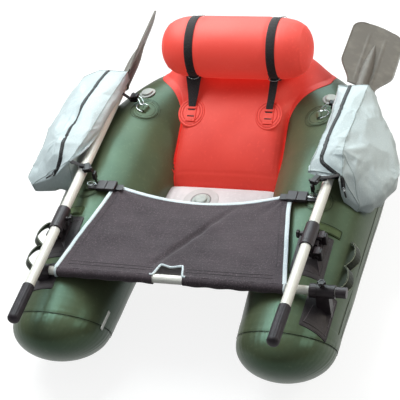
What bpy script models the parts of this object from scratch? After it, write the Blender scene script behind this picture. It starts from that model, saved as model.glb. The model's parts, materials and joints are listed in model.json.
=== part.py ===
"""Float tube: a U-shaped inflatable seat craft with two oars, a lap apron on a bar and two side bags.

Metres, +Z up. The bows point to -Y and the backrest is at +Y. The sizes below are counted from
the seam of the bows and the ground, halfway between the two tubes. The whole craft then hangs
from one frame that brings the middle of its length over the origin.
"""
import math

import bmesh
import bpy
from mathutils import Matrix, Vector

for thing in list(bpy.data.objects):
    bpy.data.objects.remove(thing, do_unlink=True)

# Clearances and shared values
gap = 0.0003
overrun = 0.010
merge_distance = 0.00001
smooth_angle = math.radians(35)
sides = (("right", 1), ("left", -1))

# Air tube: two tapered pontoons joined by a bend behind the backrest
bow_radius = 0.150
stern_radius = 0.180
axis_half_gap = 0.360
straight_length = 0.680
bend_depth = 0.430
bow_bulge = 0.140
bow_lean = math.radians(28)
bow_lean_run = 0.170
tube_sides = 40
bow_rings = 6
straight_rings = 2
bend_rings = 12
tube_taper = (stern_radius - bow_radius) / straight_length
patch_thickness = 0.002

# Seat cushion, in front of the backrest
backrest_overhang = 0.024
backrest_front = straight_length - backrest_overhang
seat_gap = 0.006
seat_length = 0.410
seat_front = backrest_front - seat_gap - seat_length
seat_half_width = 0.200
seat_middle_height = 0.155
seat_half_thickness = 0.048
seat_edge_share = 0.35

# Backrest cushion, which laps over the bend of the tube
backrest_run = 0.404
backrest_crest = backrest_front + backrest_run
backrest_front_height = 0.212
backrest_crest_height = 0.408
backrest_fall = 0.075
backrest_base_height = 0.145
backrest_foot_half_width = 0.190
backrest_top_half_width = 0.305
backrest_lap_angle = math.radians(46)
backrest_edge_share = 0.45
back_pad_radius = 0.047
back_pad_height = 0.003
back_pad_root = 0.015
back_pad_inset = 0.159
back_pad_place = backrest_front + back_pad_inset

# Roll on top of the backrest, with its two straps
roll_radius = 0.105
roll_half_length = 0.250
roll_inset = 0.354
roll_place = backrest_front + roll_inset
roll_sink = 0.008
roll_pinch = 0.006
roll_shoulder = 0.020
strap_half_spacing = 0.142
strap_width = 0.030
strap_thickness = 0.0025
round_sides = 28

# Bar across the bows: one end in a socket on the left tube, the other through a clamp on the right
bar_radius = 0.014
bar_place = 0.065
bar_lift = 0.0245
bar_height = 2 * bow_radius + bar_lift
bar_right_end = 0.514
bar_cap_radius = 0.0165
bar_cap_length = 0.031
clamp_inner_end = 0.437
clamp_outer_end = 0.512
clamp_radius = 0.0205
clamp_collar_length = 0.020
socket_inner_end = 0.385
socket_length = 0.044
socket_depth = 0.037
socket_radius = 0.0195
holder_foot_length = 0.040
holder_foot_depth = 0.034

# Apron
apron_clearance = 0.0007
apron_thickness = 0.003
apron_front_half_width = 0.362
apron_rear_half_width = 0.287
apron_rear = 0.452
anchor_station = 0.440
apron_rear_lift = 0.0057
apron_rear_height = 2 * (bow_radius + tube_taper * anchor_station) + apron_rear_lift
apron_middle_sag = 0.010
apron_rear_sag = 0.024
apron_crease_depth = 0.006
apron_crease_width = 0.016
notch_half_width = 0.045
notch_depth = 0.044
notch_corner = 0.016

# Buckles and their straps at the rear corners of the apron
buckle_part_place = 0.318
buckle_length = 0.032
buckle_width = 0.042
buckle_thickness = 0.012
buckle_bottom = apron_rear_height + gap
buckle_strap_width = 0.025
buckle_strap_thickness = 0.0022
anchor_radius = 0.040
anchor_angle = math.radians(9)
bridge_width = 0.030
bridge_depth = 0.013
bridge_height = 0.0085

# Rear rings
rear_patch_radius = 0.045
rear_patch_angle = math.radians(-9)
rear_patch_turn = math.radians(22.5)
ring_wire_radius = 0.0017
ring_bore_clearance = 0.0006
ring_half_width = 0.019
ring_reach = 0.034

# Valves
valve_turn = math.radians(33)
valve_angle = math.radians(9)
valve_flange_radius = 0.029
valve_flange_height = 0.003
valve_cap_radius = 0.020
valve_cap_height = 0.008
seat_valve_offset = 0.055
seat_valve_inset = 0.090
seat_valve_scale = 1.05

# Oars, in the frame of their sleeve: +Y runs along the shaft to the blade
oar_place = 0.403
oar_station = 0.245
oar_splay = math.radians(1.3)
oar_lift = 0.0549
oar_height = 2 * (bow_radius + tube_taper * oar_station) + oar_lift
shaft_radius = 0.016
shaft_clearance = 0.0003
grip_radius = 0.0185
grip_length = 0.145
grip_top = 0.305
grip_wall_end = 0.012
blade_socket_start = 0.690
blade_socket_length = 0.180
blade_socket_radius = 0.0200
blade_socket_depth = 0.056
shaft_rear_clearance = 0.001
shaft_rear_end = blade_socket_start + blade_socket_depth - shaft_rear_clearance
blade_inset = 0.045
blade_start = blade_socket_start + blade_inset
blade_end = 1.070
blade_half_width = 0.095
blade_neck_half_width = 0.042
blade_thickness = 0.005
blade_dish = 0.010
blade_roll = {"right": math.radians(25), "left": math.radians(-64)}
button_radius = 0.004
button_height = 0.003
button_sink = 0.004
button_place = blade_socket_start + blade_socket_depth / 2

# Oarlock
sleeve_length = 0.080
sleeve_radius = 0.0215
sleeve_lug_radius = 0.009
sleeve_lug_drop = 0.030
collar_width = 0.012
collar_radius = 0.0212
bracket_angle = math.radians(18)
bracket_length = 0.096
bracket_width = 0.044
bracket_thickness = 0.005
ear_spacing = 0.058
ear_length = 0.018
ear_width = 0.026
ear_height = 0.029
pivot_radius = 0.008
pivot_axis_height = 0.0165
neck_width = 0.016
screw_stem_radius = 0.0035
screw_stem_length = 0.008
screw_head_radius = 0.010
screw_head_length = 0.009
screw_boss_radius = 0.0075
screw_boss_height = 0.003

# Patches, flaps and side webbing on the tube
oarlock_patch_start = 0.140
oarlock_patch_end = 0.312
oarlock_patch_angles = (math.radians(-2), math.radians(36))
bar_patch_ends = {"right": (-0.036, 0.120), "left": (0.010, 0.115)}
bar_patch_angles = {"right": (math.radians(24), math.radians(62)), "left": (math.radians(2), math.radians(33))}
flap_start = 0.322
flap_end = 0.356
flap_angles = (math.radians(3), math.radians(42))
flap_lift = 0.003
webbing_angle = math.radians(60)
webbing_start = 0.150
webbing_end = 0.345
webbing_width = 0.030
webbing_hump = 0.024

# Side bags: each stands outside its oar and laps over the shaft
bag_inner = 0.455
bag_laps = {"right": 0.090, "left": 0.050}
bag_outer_edges = (0.578, 0.608, 0.478)
bag_front = 0.472
bag_overhang = 0.250
bag_rear = straight_length + bag_overhang
bag_inner_height = 0.462
bag_outer_height = 0.372
bag_bottom_height = 0.262
bag_lap_height = 0.398
bag_edge_share = 0.60

# Clips that tie the bags to the rings on the tube
clip_size = (0.026, 0.020, 0.010)
clip_bevel = 0.002
clip_strap_width = 0.012
clip_strap_thickness = 0.0022
front_clip_path = ((0.412, 0.4045), (0.375, 0.4000), (0.3665, 0.3880), (0.364, 0.3442))
front_clip_height = 0.3700
rear_clip_inset = 0.062
rear_clip_place = bag_rear - rear_clip_inset
rear_clip_path = ((0.0003, 0.4030), (0.012, 0.4010))
rear_clip_end = ((0.367, 0.3775), (0.3405, 0.3735))

paints = {
    "tube green": ("#5f7d5c", 0.42, 0.0),
    "cushion red": ("#df2f2c", 0.38, 0.0),
    "seat white": ("#e6dfe0", 0.55, 0.0),
    "apron grey": ("#584f57", 0.85, 0.0),
    "bag white": ("#cfdde2", 0.70, 0.0),
    "webbing black": ("#2a2327", 0.80, 0.0),
    "hard plastic": ("#3a3138", 0.45, 0.0),
    "patch brown": ("#43373c", 0.60, 0.0),
    "white metal": ("#f4f1ea", 0.35, 0.0),
    "bright metal": ("#b9bdbd", 0.25, 1.0),
    "grip rubber": ("#4a424c", 0.60, 0.0),
    "blade grey": ("#6e665f", 0.55, 0.0),
    "valve grey": ("#8c9a90", 0.50, 0.0),
}

parts = bpy.data.collections.new("float_tube")
cutters = bpy.data.collections.new("cutters")
for collection in (parts, cutters):
    bpy.context.scene.collection.children.link(collection)


middle_length = oar_station + (blade_end - grip_top - grip_length) / 2 * math.cos(oar_splay)
craft = bpy.data.objects.new("craft", None)
parts.objects.link(craft)
craft.location.y = -middle_length


def linear(channel):
    return channel / 12.92 if channel <= 0.04045 else ((channel + 0.055) / 1.055) ** 2.4


def paint(name):
    if name in bpy.data.materials:
        return bpy.data.materials[name]
    code, roughness, metallic = paints[name]
    colour = [linear(int(code[k:k + 2], 16) / 255) for k in (1, 3, 5)]
    material = bpy.data.materials.new(name)
    material.use_nodes = True
    shader = material.node_tree.nodes["Principled BSDF"]
    shader.inputs["Base Color"].default_value = (*colour, 1)
    shader.inputs["Roughness"].default_value = roughness
    shader.inputs["Metallic"].default_value = metallic
    return material


def add_object(name, data, material, parent=None, location=(0, 0, 0), rotation=(0, 0, 0), collection=parts):
    thing = bpy.data.objects.new(name, data)
    collection.objects.link(thing)
    thing.parent = parent or craft
    thing.location = location
    thing.rotation_euler = rotation
    if material:
        data.materials.append(paint(material))
    return thing


def add_frame(name, matrix, parent=None):
    frame = bpy.data.objects.new(name, None)
    parts.objects.link(frame)
    frame.parent = parent or craft
    frame.matrix_basis = matrix
    return frame


def as_mesh(name, bm):
    bmesh.ops.recalc_face_normals(bm, faces=bm.faces)
    if bm.calc_volume(signed=True) < 0:
        bmesh.ops.reverse_faces(bm, faces=bm.faces)
    mesh = bpy.data.meshes.new(name)
    bm.to_mesh(mesh)
    bm.free()
    mesh.shade_smooth()
    mesh.set_sharp_from_angle(angle=smooth_angle)
    return mesh


def slab(name, place, across, along, material, collection=parts):
    """A sheet of two layers: place(u, v, layer) gives each point, with u and v from -1 to 1."""
    bm = bmesh.new()
    for layer in (0, 1):
        shift = Matrix.Translation((0, 0, layer))
        bmesh.ops.create_grid(bm, x_segments=across, y_segments=along, size=1, matrix=shift)
    rim = [edge for edge in bm.edges if edge.is_boundary]
    bmesh.ops.bridge_loops(bm, edges=rim)
    for vertex in bm.verts:
        vertex.co = place(vertex.co.x, vertex.co.y, round(vertex.co.z))
    return add_object(name, as_mesh(name, bm), material, collection=collection)


def block(name, size, material, bevel=0.0, **placing):
    bm = bmesh.new()
    bmesh.ops.create_cube(bm, size=1, matrix=Matrix.Diagonal((*size, 1)))
    thing = add_object(name, as_mesh(name, bm), material, **placing)
    if bevel:
        rounding = thing.modifiers.new("rounding", "BEVEL")
        rounding.width = bevel
        rounding.segments = 2
        rounding.limit_method = "ANGLE"
    return thing


def cylinder(name, radius, length, material, segments=16, **placing):
    bm = bmesh.new()
    bmesh.ops.create_cone(bm, cap_ends=True, segments=segments, radius1=radius, radius2=radius, depth=length)
    return add_object(name, as_mesh(name, bm), material, **placing)


def turned(name, profile, material, steps=24, closed=False, **placing):
    """A profile of (radius, height) points, top to bottom, turned about Z."""
    mesh = bpy.data.meshes.new(name)
    points = [(radius, 0, height) for radius, height in profile]
    links = [(k, k + 1) for k in range(len(points) - 1)]
    if closed:
        links.append((len(points) - 1, 0))
    mesh.from_pydata(points, links, [])
    thing = add_object(name, mesh, material, **placing)
    screw = thing.modifiers.new("turn", "SCREW")
    screw.steps = screw.render_steps = steps
    screw.use_merge_vertices = True
    screw.merge_threshold = merge_distance
    screw.use_smooth_shade = True
    return thing


def pipe(name, outer, bore, length, material, steps=24, **placing):
    half = length / 2
    profile = [(outer, half), (outer, -half), (bore, -half), (bore, half)]
    return turned(name, profile, material, steps, closed=True, **placing)


def combine(target, helper, operation):
    if helper.name not in cutters.objects:
        parts.objects.unlink(helper)
        cutters.objects.link(helper)
    helper.hide_render = True
    helper.display_type = "WIRE"
    boolean = target.modifiers.new(operation.lower(), "BOOLEAN")
    boolean.operation = operation
    boolean.solver = "EXACT"
    boolean.object = helper


def join(target, helper):
    combine(target, helper, "UNION")


def cut(target, helper):
    combine(target, helper, "DIFFERENCE")


along_x = (0, math.pi / 2, 0)
along_y = (-math.pi / 2, 0, 0)

# Air tube: its axis, and places on its skin
quarter_length = (axis_half_gap + bend_depth) * math.pi / 4


def tube_radius(station):
    share = min(station / straight_length, 1)
    return bow_radius + (stern_radius - bow_radius) * share


def tube_axis(station):
    """Point and outward direction in plan of the right tube's axis."""
    if station <= straight_length:
        return Vector((axis_half_gap, station, 0)), Vector((1, 0, 0))
    turn = min((station - straight_length) / quarter_length, 1) * math.pi / 2
    point = Vector((axis_half_gap * math.cos(turn), straight_length + bend_depth * math.sin(turn), 0))
    outward = Vector((bend_depth * math.cos(turn), axis_half_gap * math.sin(turn), 0)).normalized()
    return point, outward


def turn_station(turn):
    return straight_length + quarter_length * turn / (math.pi / 2)


def on_tube(side, station, angle, lift):
    """A point on the skin: angle is from the top towards the outer side, lift is above the skin."""
    point, outward = tube_axis(station)
    radius = tube_radius(station)
    reach = radius + lift
    place = point + outward * reach * math.sin(angle)
    place.z = radius * math.cos(math.pi / tube_sides) + reach * math.cos(angle)
    place.x *= side
    return place


def tube_frame(side, station, angle, lift):
    """A frame on the skin: Z stands off it, Y runs to the stern and X is across."""
    ahead = on_tube(side, station + overrun, angle, lift) - on_tube(side, station - overrun, angle, lift)
    outward = on_tube(side, station, angle, lift + overrun) - on_tube(side, station, angle, lift)
    run = ahead.normalized()
    across = run.cross(outward).normalized()
    normal = across.cross(run)
    matrix = Matrix((across, run, normal)).transposed().to_4x4()
    matrix.translation = on_tube(side, station, angle, lift)
    return matrix


def air_tube(name, lift, material, collection=parts):
    bm = bmesh.new()
    angles = [(k + 0.5) * 2 * math.pi / tube_sides for k in range(tube_sides)]

    def seam_place(station, lean_share, angle):
        lean = lean_share * math.tan(bow_lean) * bow_radius * math.cos(angle)
        return on_tube(1, station - lean, angle, lift)

    rings = []
    for k in range(bow_rings - 1, 0, -1):
        swing = k / bow_rings * math.pi / 2
        centre = Vector((axis_half_gap, 0, bow_radius))
        ring = []
        for angle in angles:
            rim = seam_place(0, 1, angle) - centre
            spot = centre + rim * math.cos(swing)
            spot.y -= (bow_bulge + lift) * math.sin(swing)
            ring.append(bm.verts.new(spot))
        rings.append(ring)
    for k in range(4):
        station = bow_lean_run * k / 3
        rings.append([bm.verts.new(seam_place(station, 1 - k / 3, angle)) for angle in angles])
    for k in range(1, straight_rings + 1):
        station = bow_lean_run + (straight_length - bow_lean_run) * k / straight_rings
        rings.append([bm.verts.new(on_tube(1, station, angle, lift)) for angle in angles])
    for k in range(1, bend_rings + 1):
        station = straight_length + quarter_length * k / bend_rings
        ring = [bm.verts.new(on_tube(1, station, angle, lift)) for angle in angles]
        rings.append(ring)
    for vertex in rings[-1]:
        vertex.co.x = 0
    nose = bm.verts.new((axis_half_gap, -bow_bulge - lift, bow_radius))
    for near, far in zip(rings, rings[1:]):
        for k in range(tube_sides):
            n = (k + 1) % tube_sides
            bm.faces.new((near[k], near[n], far[n], far[k]))
    for k in range(tube_sides):
        bm.faces.new((nose, rings[0][(k + 1) % tube_sides], rings[0][k]))
    thing = add_object(name, as_mesh(name, bm), material, collection=collection)
    mirror = thing.modifiers.new("other half", "MIRROR")
    mirror.use_axis[0] = True
    mirror.merge_threshold = merge_distance
    return thing


u_tube = air_tube("u_tube", 0, "tube green")
tube_cutter = air_tube("tube_cutter", gap, None, cutters)
patch_cutter = air_tube("patch_cutter", patch_thickness + 4 * gap, None, cutters)


def bunched(share):
    """Spreads grid lines so that they lie closer towards the edges."""
    return math.sin(share * math.pi / 2)


# Seat cushion
def seat_place(u, v, layer):
    u, v = bunched(u), bunched(v)
    fullness = math.sqrt((1 - u ** 8) * (1 - v ** 8))
    thickness = seat_half_thickness * (seat_edge_share + (1 - seat_edge_share) * fullness)
    middle = seat_front + seat_length / 2
    height = seat_middle_height + thickness * (1 if layer else -1)
    return Vector((u * seat_half_width, middle + v * seat_length / 2, height))


seat = slab("seat", seat_place, 10, 12, "seat white")
cut(seat, tube_cutter)


# Backrest cushion
def backrest_rear(x):
    """Where the lap ends on the outer side of the bend."""
    reach = (stern_radius * math.sin(backrest_lap_angle))
    across = x / (axis_half_gap + reach)
    return straight_length + (bend_depth + reach) * math.sqrt(1 - across ** 2)


def backrest_top(y):
    if y < backrest_crest:
        share = max((y - backrest_front) / (backrest_crest - backrest_front), 0)
        rise = math.sin(share * math.pi / 2) ** 0.85
        return backrest_front_height + (backrest_crest_height - backrest_front_height) * rise
    share = (y - backrest_crest) / (backrest_rear(0) - backrest_crest)
    return backrest_crest_height - backrest_fall * share ** 2


def backrest_place(u, v, layer):
    u, v = bunched(u), bunched(v)
    run = (v + 1) / 2
    widening = min(max((run - 0.35) / 0.5, 0), 1)
    widening = widening * widening * (3 - 2 * widening)
    half_width = backrest_foot_half_width
    half_width += (backrest_top_half_width - backrest_foot_half_width) * widening
    x = u * half_width
    y = backrest_front + run * (backrest_rear(x) - backrest_front)
    fullness = math.sqrt((1 - u ** 10) * (1 - v ** 12))
    full = backrest_edge_share + (1 - backrest_edge_share) * fullness
    top = backrest_base_height + (backrest_top(y) - backrest_base_height) * full
    return Vector((x, y, top if layer else backrest_base_height))


def back_pad(side):
    def place(u, v, layer):
        x = side * strap_half_spacing + back_pad_radius * u * math.sqrt(1 - v * v / 2)
        y = back_pad_place + back_pad_radius * v * math.sqrt(1 - u * u / 2)
        lift = back_pad_height if layer else -back_pad_root
        return Vector((x, y, backrest_top(y) + lift))
    return place


roll_height = backrest_top(roll_place) + roll_radius - roll_sink
backrest = slab("backrest", backrest_place, 14, 16, "cushion red")
for name, side in sides:
    join(backrest, slab("back_pad_" + name, back_pad(side), 6, 6, None))
cut(backrest, tube_cutter)


# Roll, pinched where its straps run
def loose_roll_size(x):
    share = min(abs(x) / roll_half_length, 1)
    return roll_radius * (1 - share ** 6) ** 0.42


groove_radius = loose_roll_size(strap_half_spacing) - roll_pinch
strap_bore = groove_radius + 2 * gap


def roll_size(x):
    distance = abs(abs(x) - strap_half_spacing) - strap_width / 2 - 6 * gap
    bite = 1 - min(max(distance / roll_shoulder, 0), 1)
    return loose_roll_size(x) + (groove_radius - loose_roll_size(x)) * bite * bite * (3 - 2 * bite)


def roll_profile(lift, strap_room=None):
    groove = strap_width / 2 + 6 * gap
    inner = strap_half_spacing - groove
    outer = strap_half_spacing + groove
    places = [0, inner / 2, inner - roll_shoulder, inner - roll_shoulder / 2, inner, outer]
    places += [outer + roll_shoulder / 2, outer + roll_shoulder]
    rest = roll_half_length - outer - roll_shoulder
    places += [outer + roll_shoulder + rest * share for share in (0.35, 0.62, 0.82, 0.94, 0.99)]
    half = [(roll_size(x) + lift, x) for x in places]
    if strap_room:
        half[places.index(outer):places.index(outer)] = [(strap_room, inner), (strap_room, outer)]
    top = [(0, roll_half_length + lift)] + half[::-1]
    return top + [(radius, -x) for radius, x in half[1:]] + [(0, -roll_half_length - lift)]


roll_centre = (0, roll_place, roll_height)
back_roll = turned("back_roll", roll_profile(0), "cushion red", round_sides,
                   location=roll_centre, rotation=along_x)
roll_cutter = turned("roll_cutter", roll_profile(gap, strap_bore + 3 * strap_thickness), None, round_sides,
                     location=roll_centre, rotation=along_x)
cut(backrest, roll_cutter)

# Straps round the roll, each with a tail down to its pad on the backrest
for name, side in sides:
    strap = pipe("roll_strap_" + name, strap_bore + strap_thickness, strap_bore, strap_width,
                 "webbing black", round_sides,
                 location=(side * strap_half_spacing, roll_place, roll_height), rotation=along_x)
    tail_foot = Vector((0, back_pad_place + back_pad_radius / 3, 0))
    tail_foot.z = backrest_top(tail_foot.y) + back_pad_height + strap_thickness + 3 * gap
    reach = Vector((0, roll_place - tail_foot.y, roll_height - tail_foot.z))
    length = reach.length - strap_bore - strap_thickness / 2
    middle = tail_foot + reach.normalized() * length / 2
    tail = block("strap_tail_" + name, (strap_width * 0.8, length, strap_thickness), None,
                 location=(side * strap_half_spacing, middle.y, middle.z),
                 rotation=(math.atan2(reach.z, reach.y), 0, 0))
    join(strap, tail)


# Valves: a flange on the skin and a cap that turns on it
def valve(name, scale, frame):
    flange, cap = valve_flange_radius * scale, valve_cap_radius * scale
    rim = [(0, valve_flange_height), (flange * 0.93, valve_flange_height),
           (flange, valve_flange_height / 2), (flange, 0), (0, 0)]
    turned(name + "_flange", rim, "valve grey", 20, parent=frame)
    lid = [(0, valve_cap_height), (cap * 0.8, valve_cap_height), (cap, valve_cap_height * 0.75), (cap, 0), (0, 0)]
    turned(name + "_cap", lid, "valve grey", 20, parent=frame, location=(0, 0, valve_flange_height + gap))


for name, side in sides:
    place = tube_frame(side, turn_station(valve_turn), valve_angle, gap)
    valve("tube_valve_" + name, 1, add_frame("valve_frame_" + name, place))
seat_top = seat_middle_height + seat_half_thickness
seat_valve_place = seat_front + seat_length - seat_valve_inset
place = Matrix.Translation((-seat_valve_offset, seat_valve_place, seat_top + gap))
valve("seat_valve", seat_valve_scale, add_frame("seat_valve_frame", place))


# Round patches with a bridge, and the rings at the stern
def disc_on_tube(side, station, angle, radius):
    def place(u, v, layer):
        across = radius * u * math.sqrt(1 - v * v / 2)
        along = radius * v * math.sqrt(1 - u * u / 2)
        lift = 2 * gap + layer * patch_thickness
        return on_tube(side, station + along, angle + across / tube_radius(station), lift)
    return place


patch_top = 2 * gap + patch_thickness
for name, side in sides:
    station = turn_station(rear_patch_turn)
    patch = slab("rear_patch_" + name, disc_on_tube(side, station, rear_patch_angle, rear_patch_radius),
                 8, 8, "tube green")
    frame = add_frame("rear_ring_frame_" + name,
                      tube_frame(side, station, rear_patch_angle, patch_top + bridge_height / 2))
    bridge = block("rear_bridge_" + name, (bridge_depth, bridge_width, bridge_height + patch_thickness), None,
                   parent=frame, location=(0, 0, -patch_thickness / 2))
    join(patch, bridge)
    bore = cylinder("rear_bore_" + name, ring_wire_radius + ring_bore_clearance, bridge_width + overrun, None,
                    12, parent=frame, rotation=along_y)
    cut(patch, bore)
    wire = bpy.data.curves.new("rear_ring_" + name, "CURVE")
    wire.dimensions = "3D"
    wire.bevel_depth = ring_wire_radius
    wire.bevel_resolution = 2
    wire.use_fill_caps = True
    wire.render_resolution_u = 0
    corner = ring_half_width * 0.8
    outline = [(0, -ring_half_width), (0, -corner / 2), (0, corner / 2), (0, ring_half_width)]
    outline += [(ring_reach * share, ring_half_width * math.sqrt(1 - share ** 3))
                for share in (0.3, 0.6, 0.85, 1)]
    outline += [(ring_reach * share, -ring_half_width * math.sqrt(1 - share ** 3))
                for share in (0.85, 0.6, 0.3)]
    spline = wire.splines.new("POLY")
    spline.points.add(len(outline) - 1)
    for point, (across, along) in zip(spline.points, outline):
        point.co = (side * across, along, 0, 1)
    spline.use_cyclic_u = True
    add_object("rear_ring_" + name, wire, "bright metal", parent=frame)

    anchor = slab("apron_anchor_" + name, disc_on_tube(side, anchor_station, anchor_angle, anchor_radius),
                  8, 8, "tube green")
    frame = add_frame("anchor_frame_" + name, tube_frame(side, anchor_station, anchor_angle, patch_top))
    bridge = block("anchor_bridge_" + name, (bridge_depth, bridge_width, bridge_height + patch_thickness), None,
                   parent=frame, location=(0, 0, (bridge_height - patch_thickness) / 2))
    join(anchor, bridge)

# Bar with its end cap, which slide together
bar_left_end = socket_inner_end + socket_depth - gap
bar_length = bar_right_end + bar_left_end
bar_frame = add_frame("bar_frame", Matrix.Translation((0, bar_place, bar_height)))
cylinder("bar", bar_radius, bar_length, "white metal", 20, parent=bar_frame,
         location=((bar_right_end - bar_left_end) / 2, 0, 0), rotation=along_x)
cylinder("bar_cap", bar_cap_radius, bar_cap_length, "hard plastic", 20, parent=bar_frame,
         location=(bar_right_end + gap + bar_cap_length / 2, 0, 0), rotation=along_x)


def thumbscrew(name, frame):
    """A stem under a round knob, along its frame's Z."""
    top = screw_stem_length + screw_head_length
    profile = [(0, top), (screw_head_radius * 0.8, top), (screw_head_radius, top - screw_head_length / 4),
               (screw_head_radius, screw_stem_length), (screw_stem_radius, screw_stem_length),
               (screw_stem_radius, gap), (0, gap)]
    return turned(name, profile, "hard plastic", 10, parent=frame)


def bar_holder(name, radius, length, centre):
    """A barrel round the bar on a foot that is cut to the patch below it."""
    holder = cylinder(name, radius, length, "hard plastic", 24, location=centre, rotation=along_x)
    foot_height = bar_height / 3
    foot = block(name + "_foot", (holder_foot_length, holder_foot_depth, foot_height), None,
                 location=centre - Vector((0, 0, radius / 2 + foot_height / 2)))
    join(holder, foot)
    cut(holder, patch_cutter)
    return holder


clamp_length = clamp_outer_end - clamp_inner_end
clamp_centre = Vector(((clamp_inner_end + clamp_outer_end) / 2, bar_place, bar_height))
clamp = bar_holder("bar_clamp", clamp_radius, clamp_length, clamp_centre)
clamp_collar = cylinder("clamp_collar", clamp_radius + 4 * gap, clamp_collar_length, None, 24,
                        location=(clamp_inner_end - gap + clamp_collar_length / 2, bar_place, bar_height),
                        rotation=along_x)
join(clamp, clamp_collar)
boss_reach = clamp_radius + screw_boss_height
clamp_boss = cylinder("clamp_boss", screw_boss_radius, boss_reach, None, 16,
                      location=clamp_centre + Vector((0, 0, boss_reach / 2)))
join(clamp, clamp_boss)
clamp_bore = cylinder("clamp_bore", bar_radius + gap, 2 * clamp_length, None, 20,
                      location=clamp_centre, rotation=along_x)
cut(clamp, clamp_bore)
thumbscrew("clamp_screw", add_frame("clamp_screw_frame",
                                    Matrix.Translation(clamp_centre + Vector((0, 0, boss_reach)))))

socket_centre = Vector((-socket_inner_end - socket_length / 2, bar_place, bar_height))
bar_socket = bar_holder("bar_socket", socket_radius, socket_length, socket_centre)
socket_hole = cylinder("socket_hole", bar_radius + gap, 2 * socket_depth, None, 20,
                       location=(-socket_inner_end, bar_place, bar_height), rotation=along_x)
cut(bar_socket, socket_hole)

# Apron, turned about the bar
apron_bore = bar_radius + apron_clearance
apron_front = bar_place + bar_radius * 0.75


def apron_place(u, v, layer):
    run = (v + 1) / 2
    half_width = apron_front_half_width + (apron_rear_half_width - apron_front_half_width) * run
    x, y = u * half_width, apron_front + (apron_rear - apron_front) * run
    front_height = bar_height + bar_radius * 0.95
    height = front_height + (apron_rear_height - front_height) * min(run * 3, 1)
    height -= (1 - u * u) * (apron_middle_sag * math.sin(run * math.pi) + apron_rear_sag * run ** 3)
    fold = (x - apron_front_half_width * 0.30) * 0.87 - (y - apron_rear * 0.90) * 0.49
    height -= apron_crease_depth * math.exp(-(fold / apron_crease_width) ** 2) * math.sin(run * math.pi)
    return Vector((x, y, height if layer else height - apron_thickness))


apron = slab("apron", apron_place, 16, 10, "apron grey")
hem = cylinder("apron_hem", apron_bore + apron_thickness, 2 * apron_front_half_width, None, 24,
               location=(0, bar_place, bar_height), rotation=along_x)
join(apron, hem)
hem_bore = cylinder("hem_bore", apron_bore, 2 * apron_front_half_width + overrun, None, 24,
                    location=(0, bar_place, bar_height), rotation=along_x)
cut(apron, hem_bore)
notch_size = (2 * notch_half_width, notch_depth * 2, bar_height / 3)
notch = block("apron_notch", notch_size, None, bevel=notch_corner, location=(0, bar_place, bar_height))
cut(apron, notch)

# Buckles: one half on each tube, the other on the apron
buckle_middle = buckle_bottom + buckle_thickness / 2
for name, side in sides:
    y = anchor_station
    size = (buckle_length, buckle_width, buckle_thickness)
    female = block("buckle_socket_" + name, size, "hard plastic", 0.002,
                   location=(side * (buckle_part_place + gap / 2 + buckle_length / 2), y, buckle_middle))
    anchor_place = tube_frame(side, anchor_station, anchor_angle, patch_top)
    bridge_edge = anchor_place @ Vector((-side * bridge_depth / 2, 0, bridge_height * 0.85))
    near = buckle_part_place + buckle_length / 2
    far = abs(bridge_edge.x) - 2 * gap
    strap = block("socket_strap_" + name, (far - near, buckle_strap_width, buckle_strap_thickness), None,
                  location=(side * (near + far) / 2, y, buckle_bottom + buckle_strap_thickness))
    join(female, strap)
    male = block("buckle_plug_" + name, size, "hard plastic", 0.002,
                 location=(side * (buckle_part_place - gap / 2 - buckle_length / 2), y, buckle_middle))
    tab_end = apron_rear_half_width - buckle_strap_width
    near = buckle_part_place - buckle_length / 2
    tab = block("plug_tab_" + name, (near - tab_end, buckle_strap_width, buckle_strap_thickness), None,
                location=(side * (near + tab_end) / 2, y, buckle_bottom + buckle_strap_thickness))
    join(male, tab)


# Patches and flaps that lie on the tube
def panel_on_tube(side, start, end, angles, lift_at=None):
    def place(u, v, layer):
        station = start + (end - start) * (v + 1) / 2
        angle = angles[0] + (angles[1] - angles[0]) * (u + 1) / 2
        extra = lift_at(u, v) if lift_at else 0
        return on_tube(side, station, angle, 2 * gap + layer * patch_thickness + extra)
    return place


def flap_lift_at(u, v):
    return flap_lift * (1 - u * u) * (1 - v) / 2


def webbing_lift_at(u, v):
    return webbing_hump * abs(math.sin(math.pi * v)) ** 0.8


webbing_half_angle = webbing_width / 2 / bow_radius
webbing_angles = (webbing_angle - webbing_half_angle, webbing_angle + webbing_half_angle)
for name, side in sides:
    slab("oarlock_patch_" + name,
         panel_on_tube(side, oarlock_patch_start, oarlock_patch_end, oarlock_patch_angles),
         8, 4, "patch brown")
    slab("bar_patch_" + name, panel_on_tube(side, *bar_patch_ends[name], bar_patch_angles[name]),
         8, 4, "patch brown")
    slab("handle_flap_" + name, panel_on_tube(side, flap_start, flap_end, flap_angles, flap_lift_at),
         8, 3, "tube green")
    slab("side_webbing_" + name,
         panel_on_tube(side, webbing_start, webbing_end, webbing_angles, webbing_lift_at),
         2, 28, "webbing black")

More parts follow.
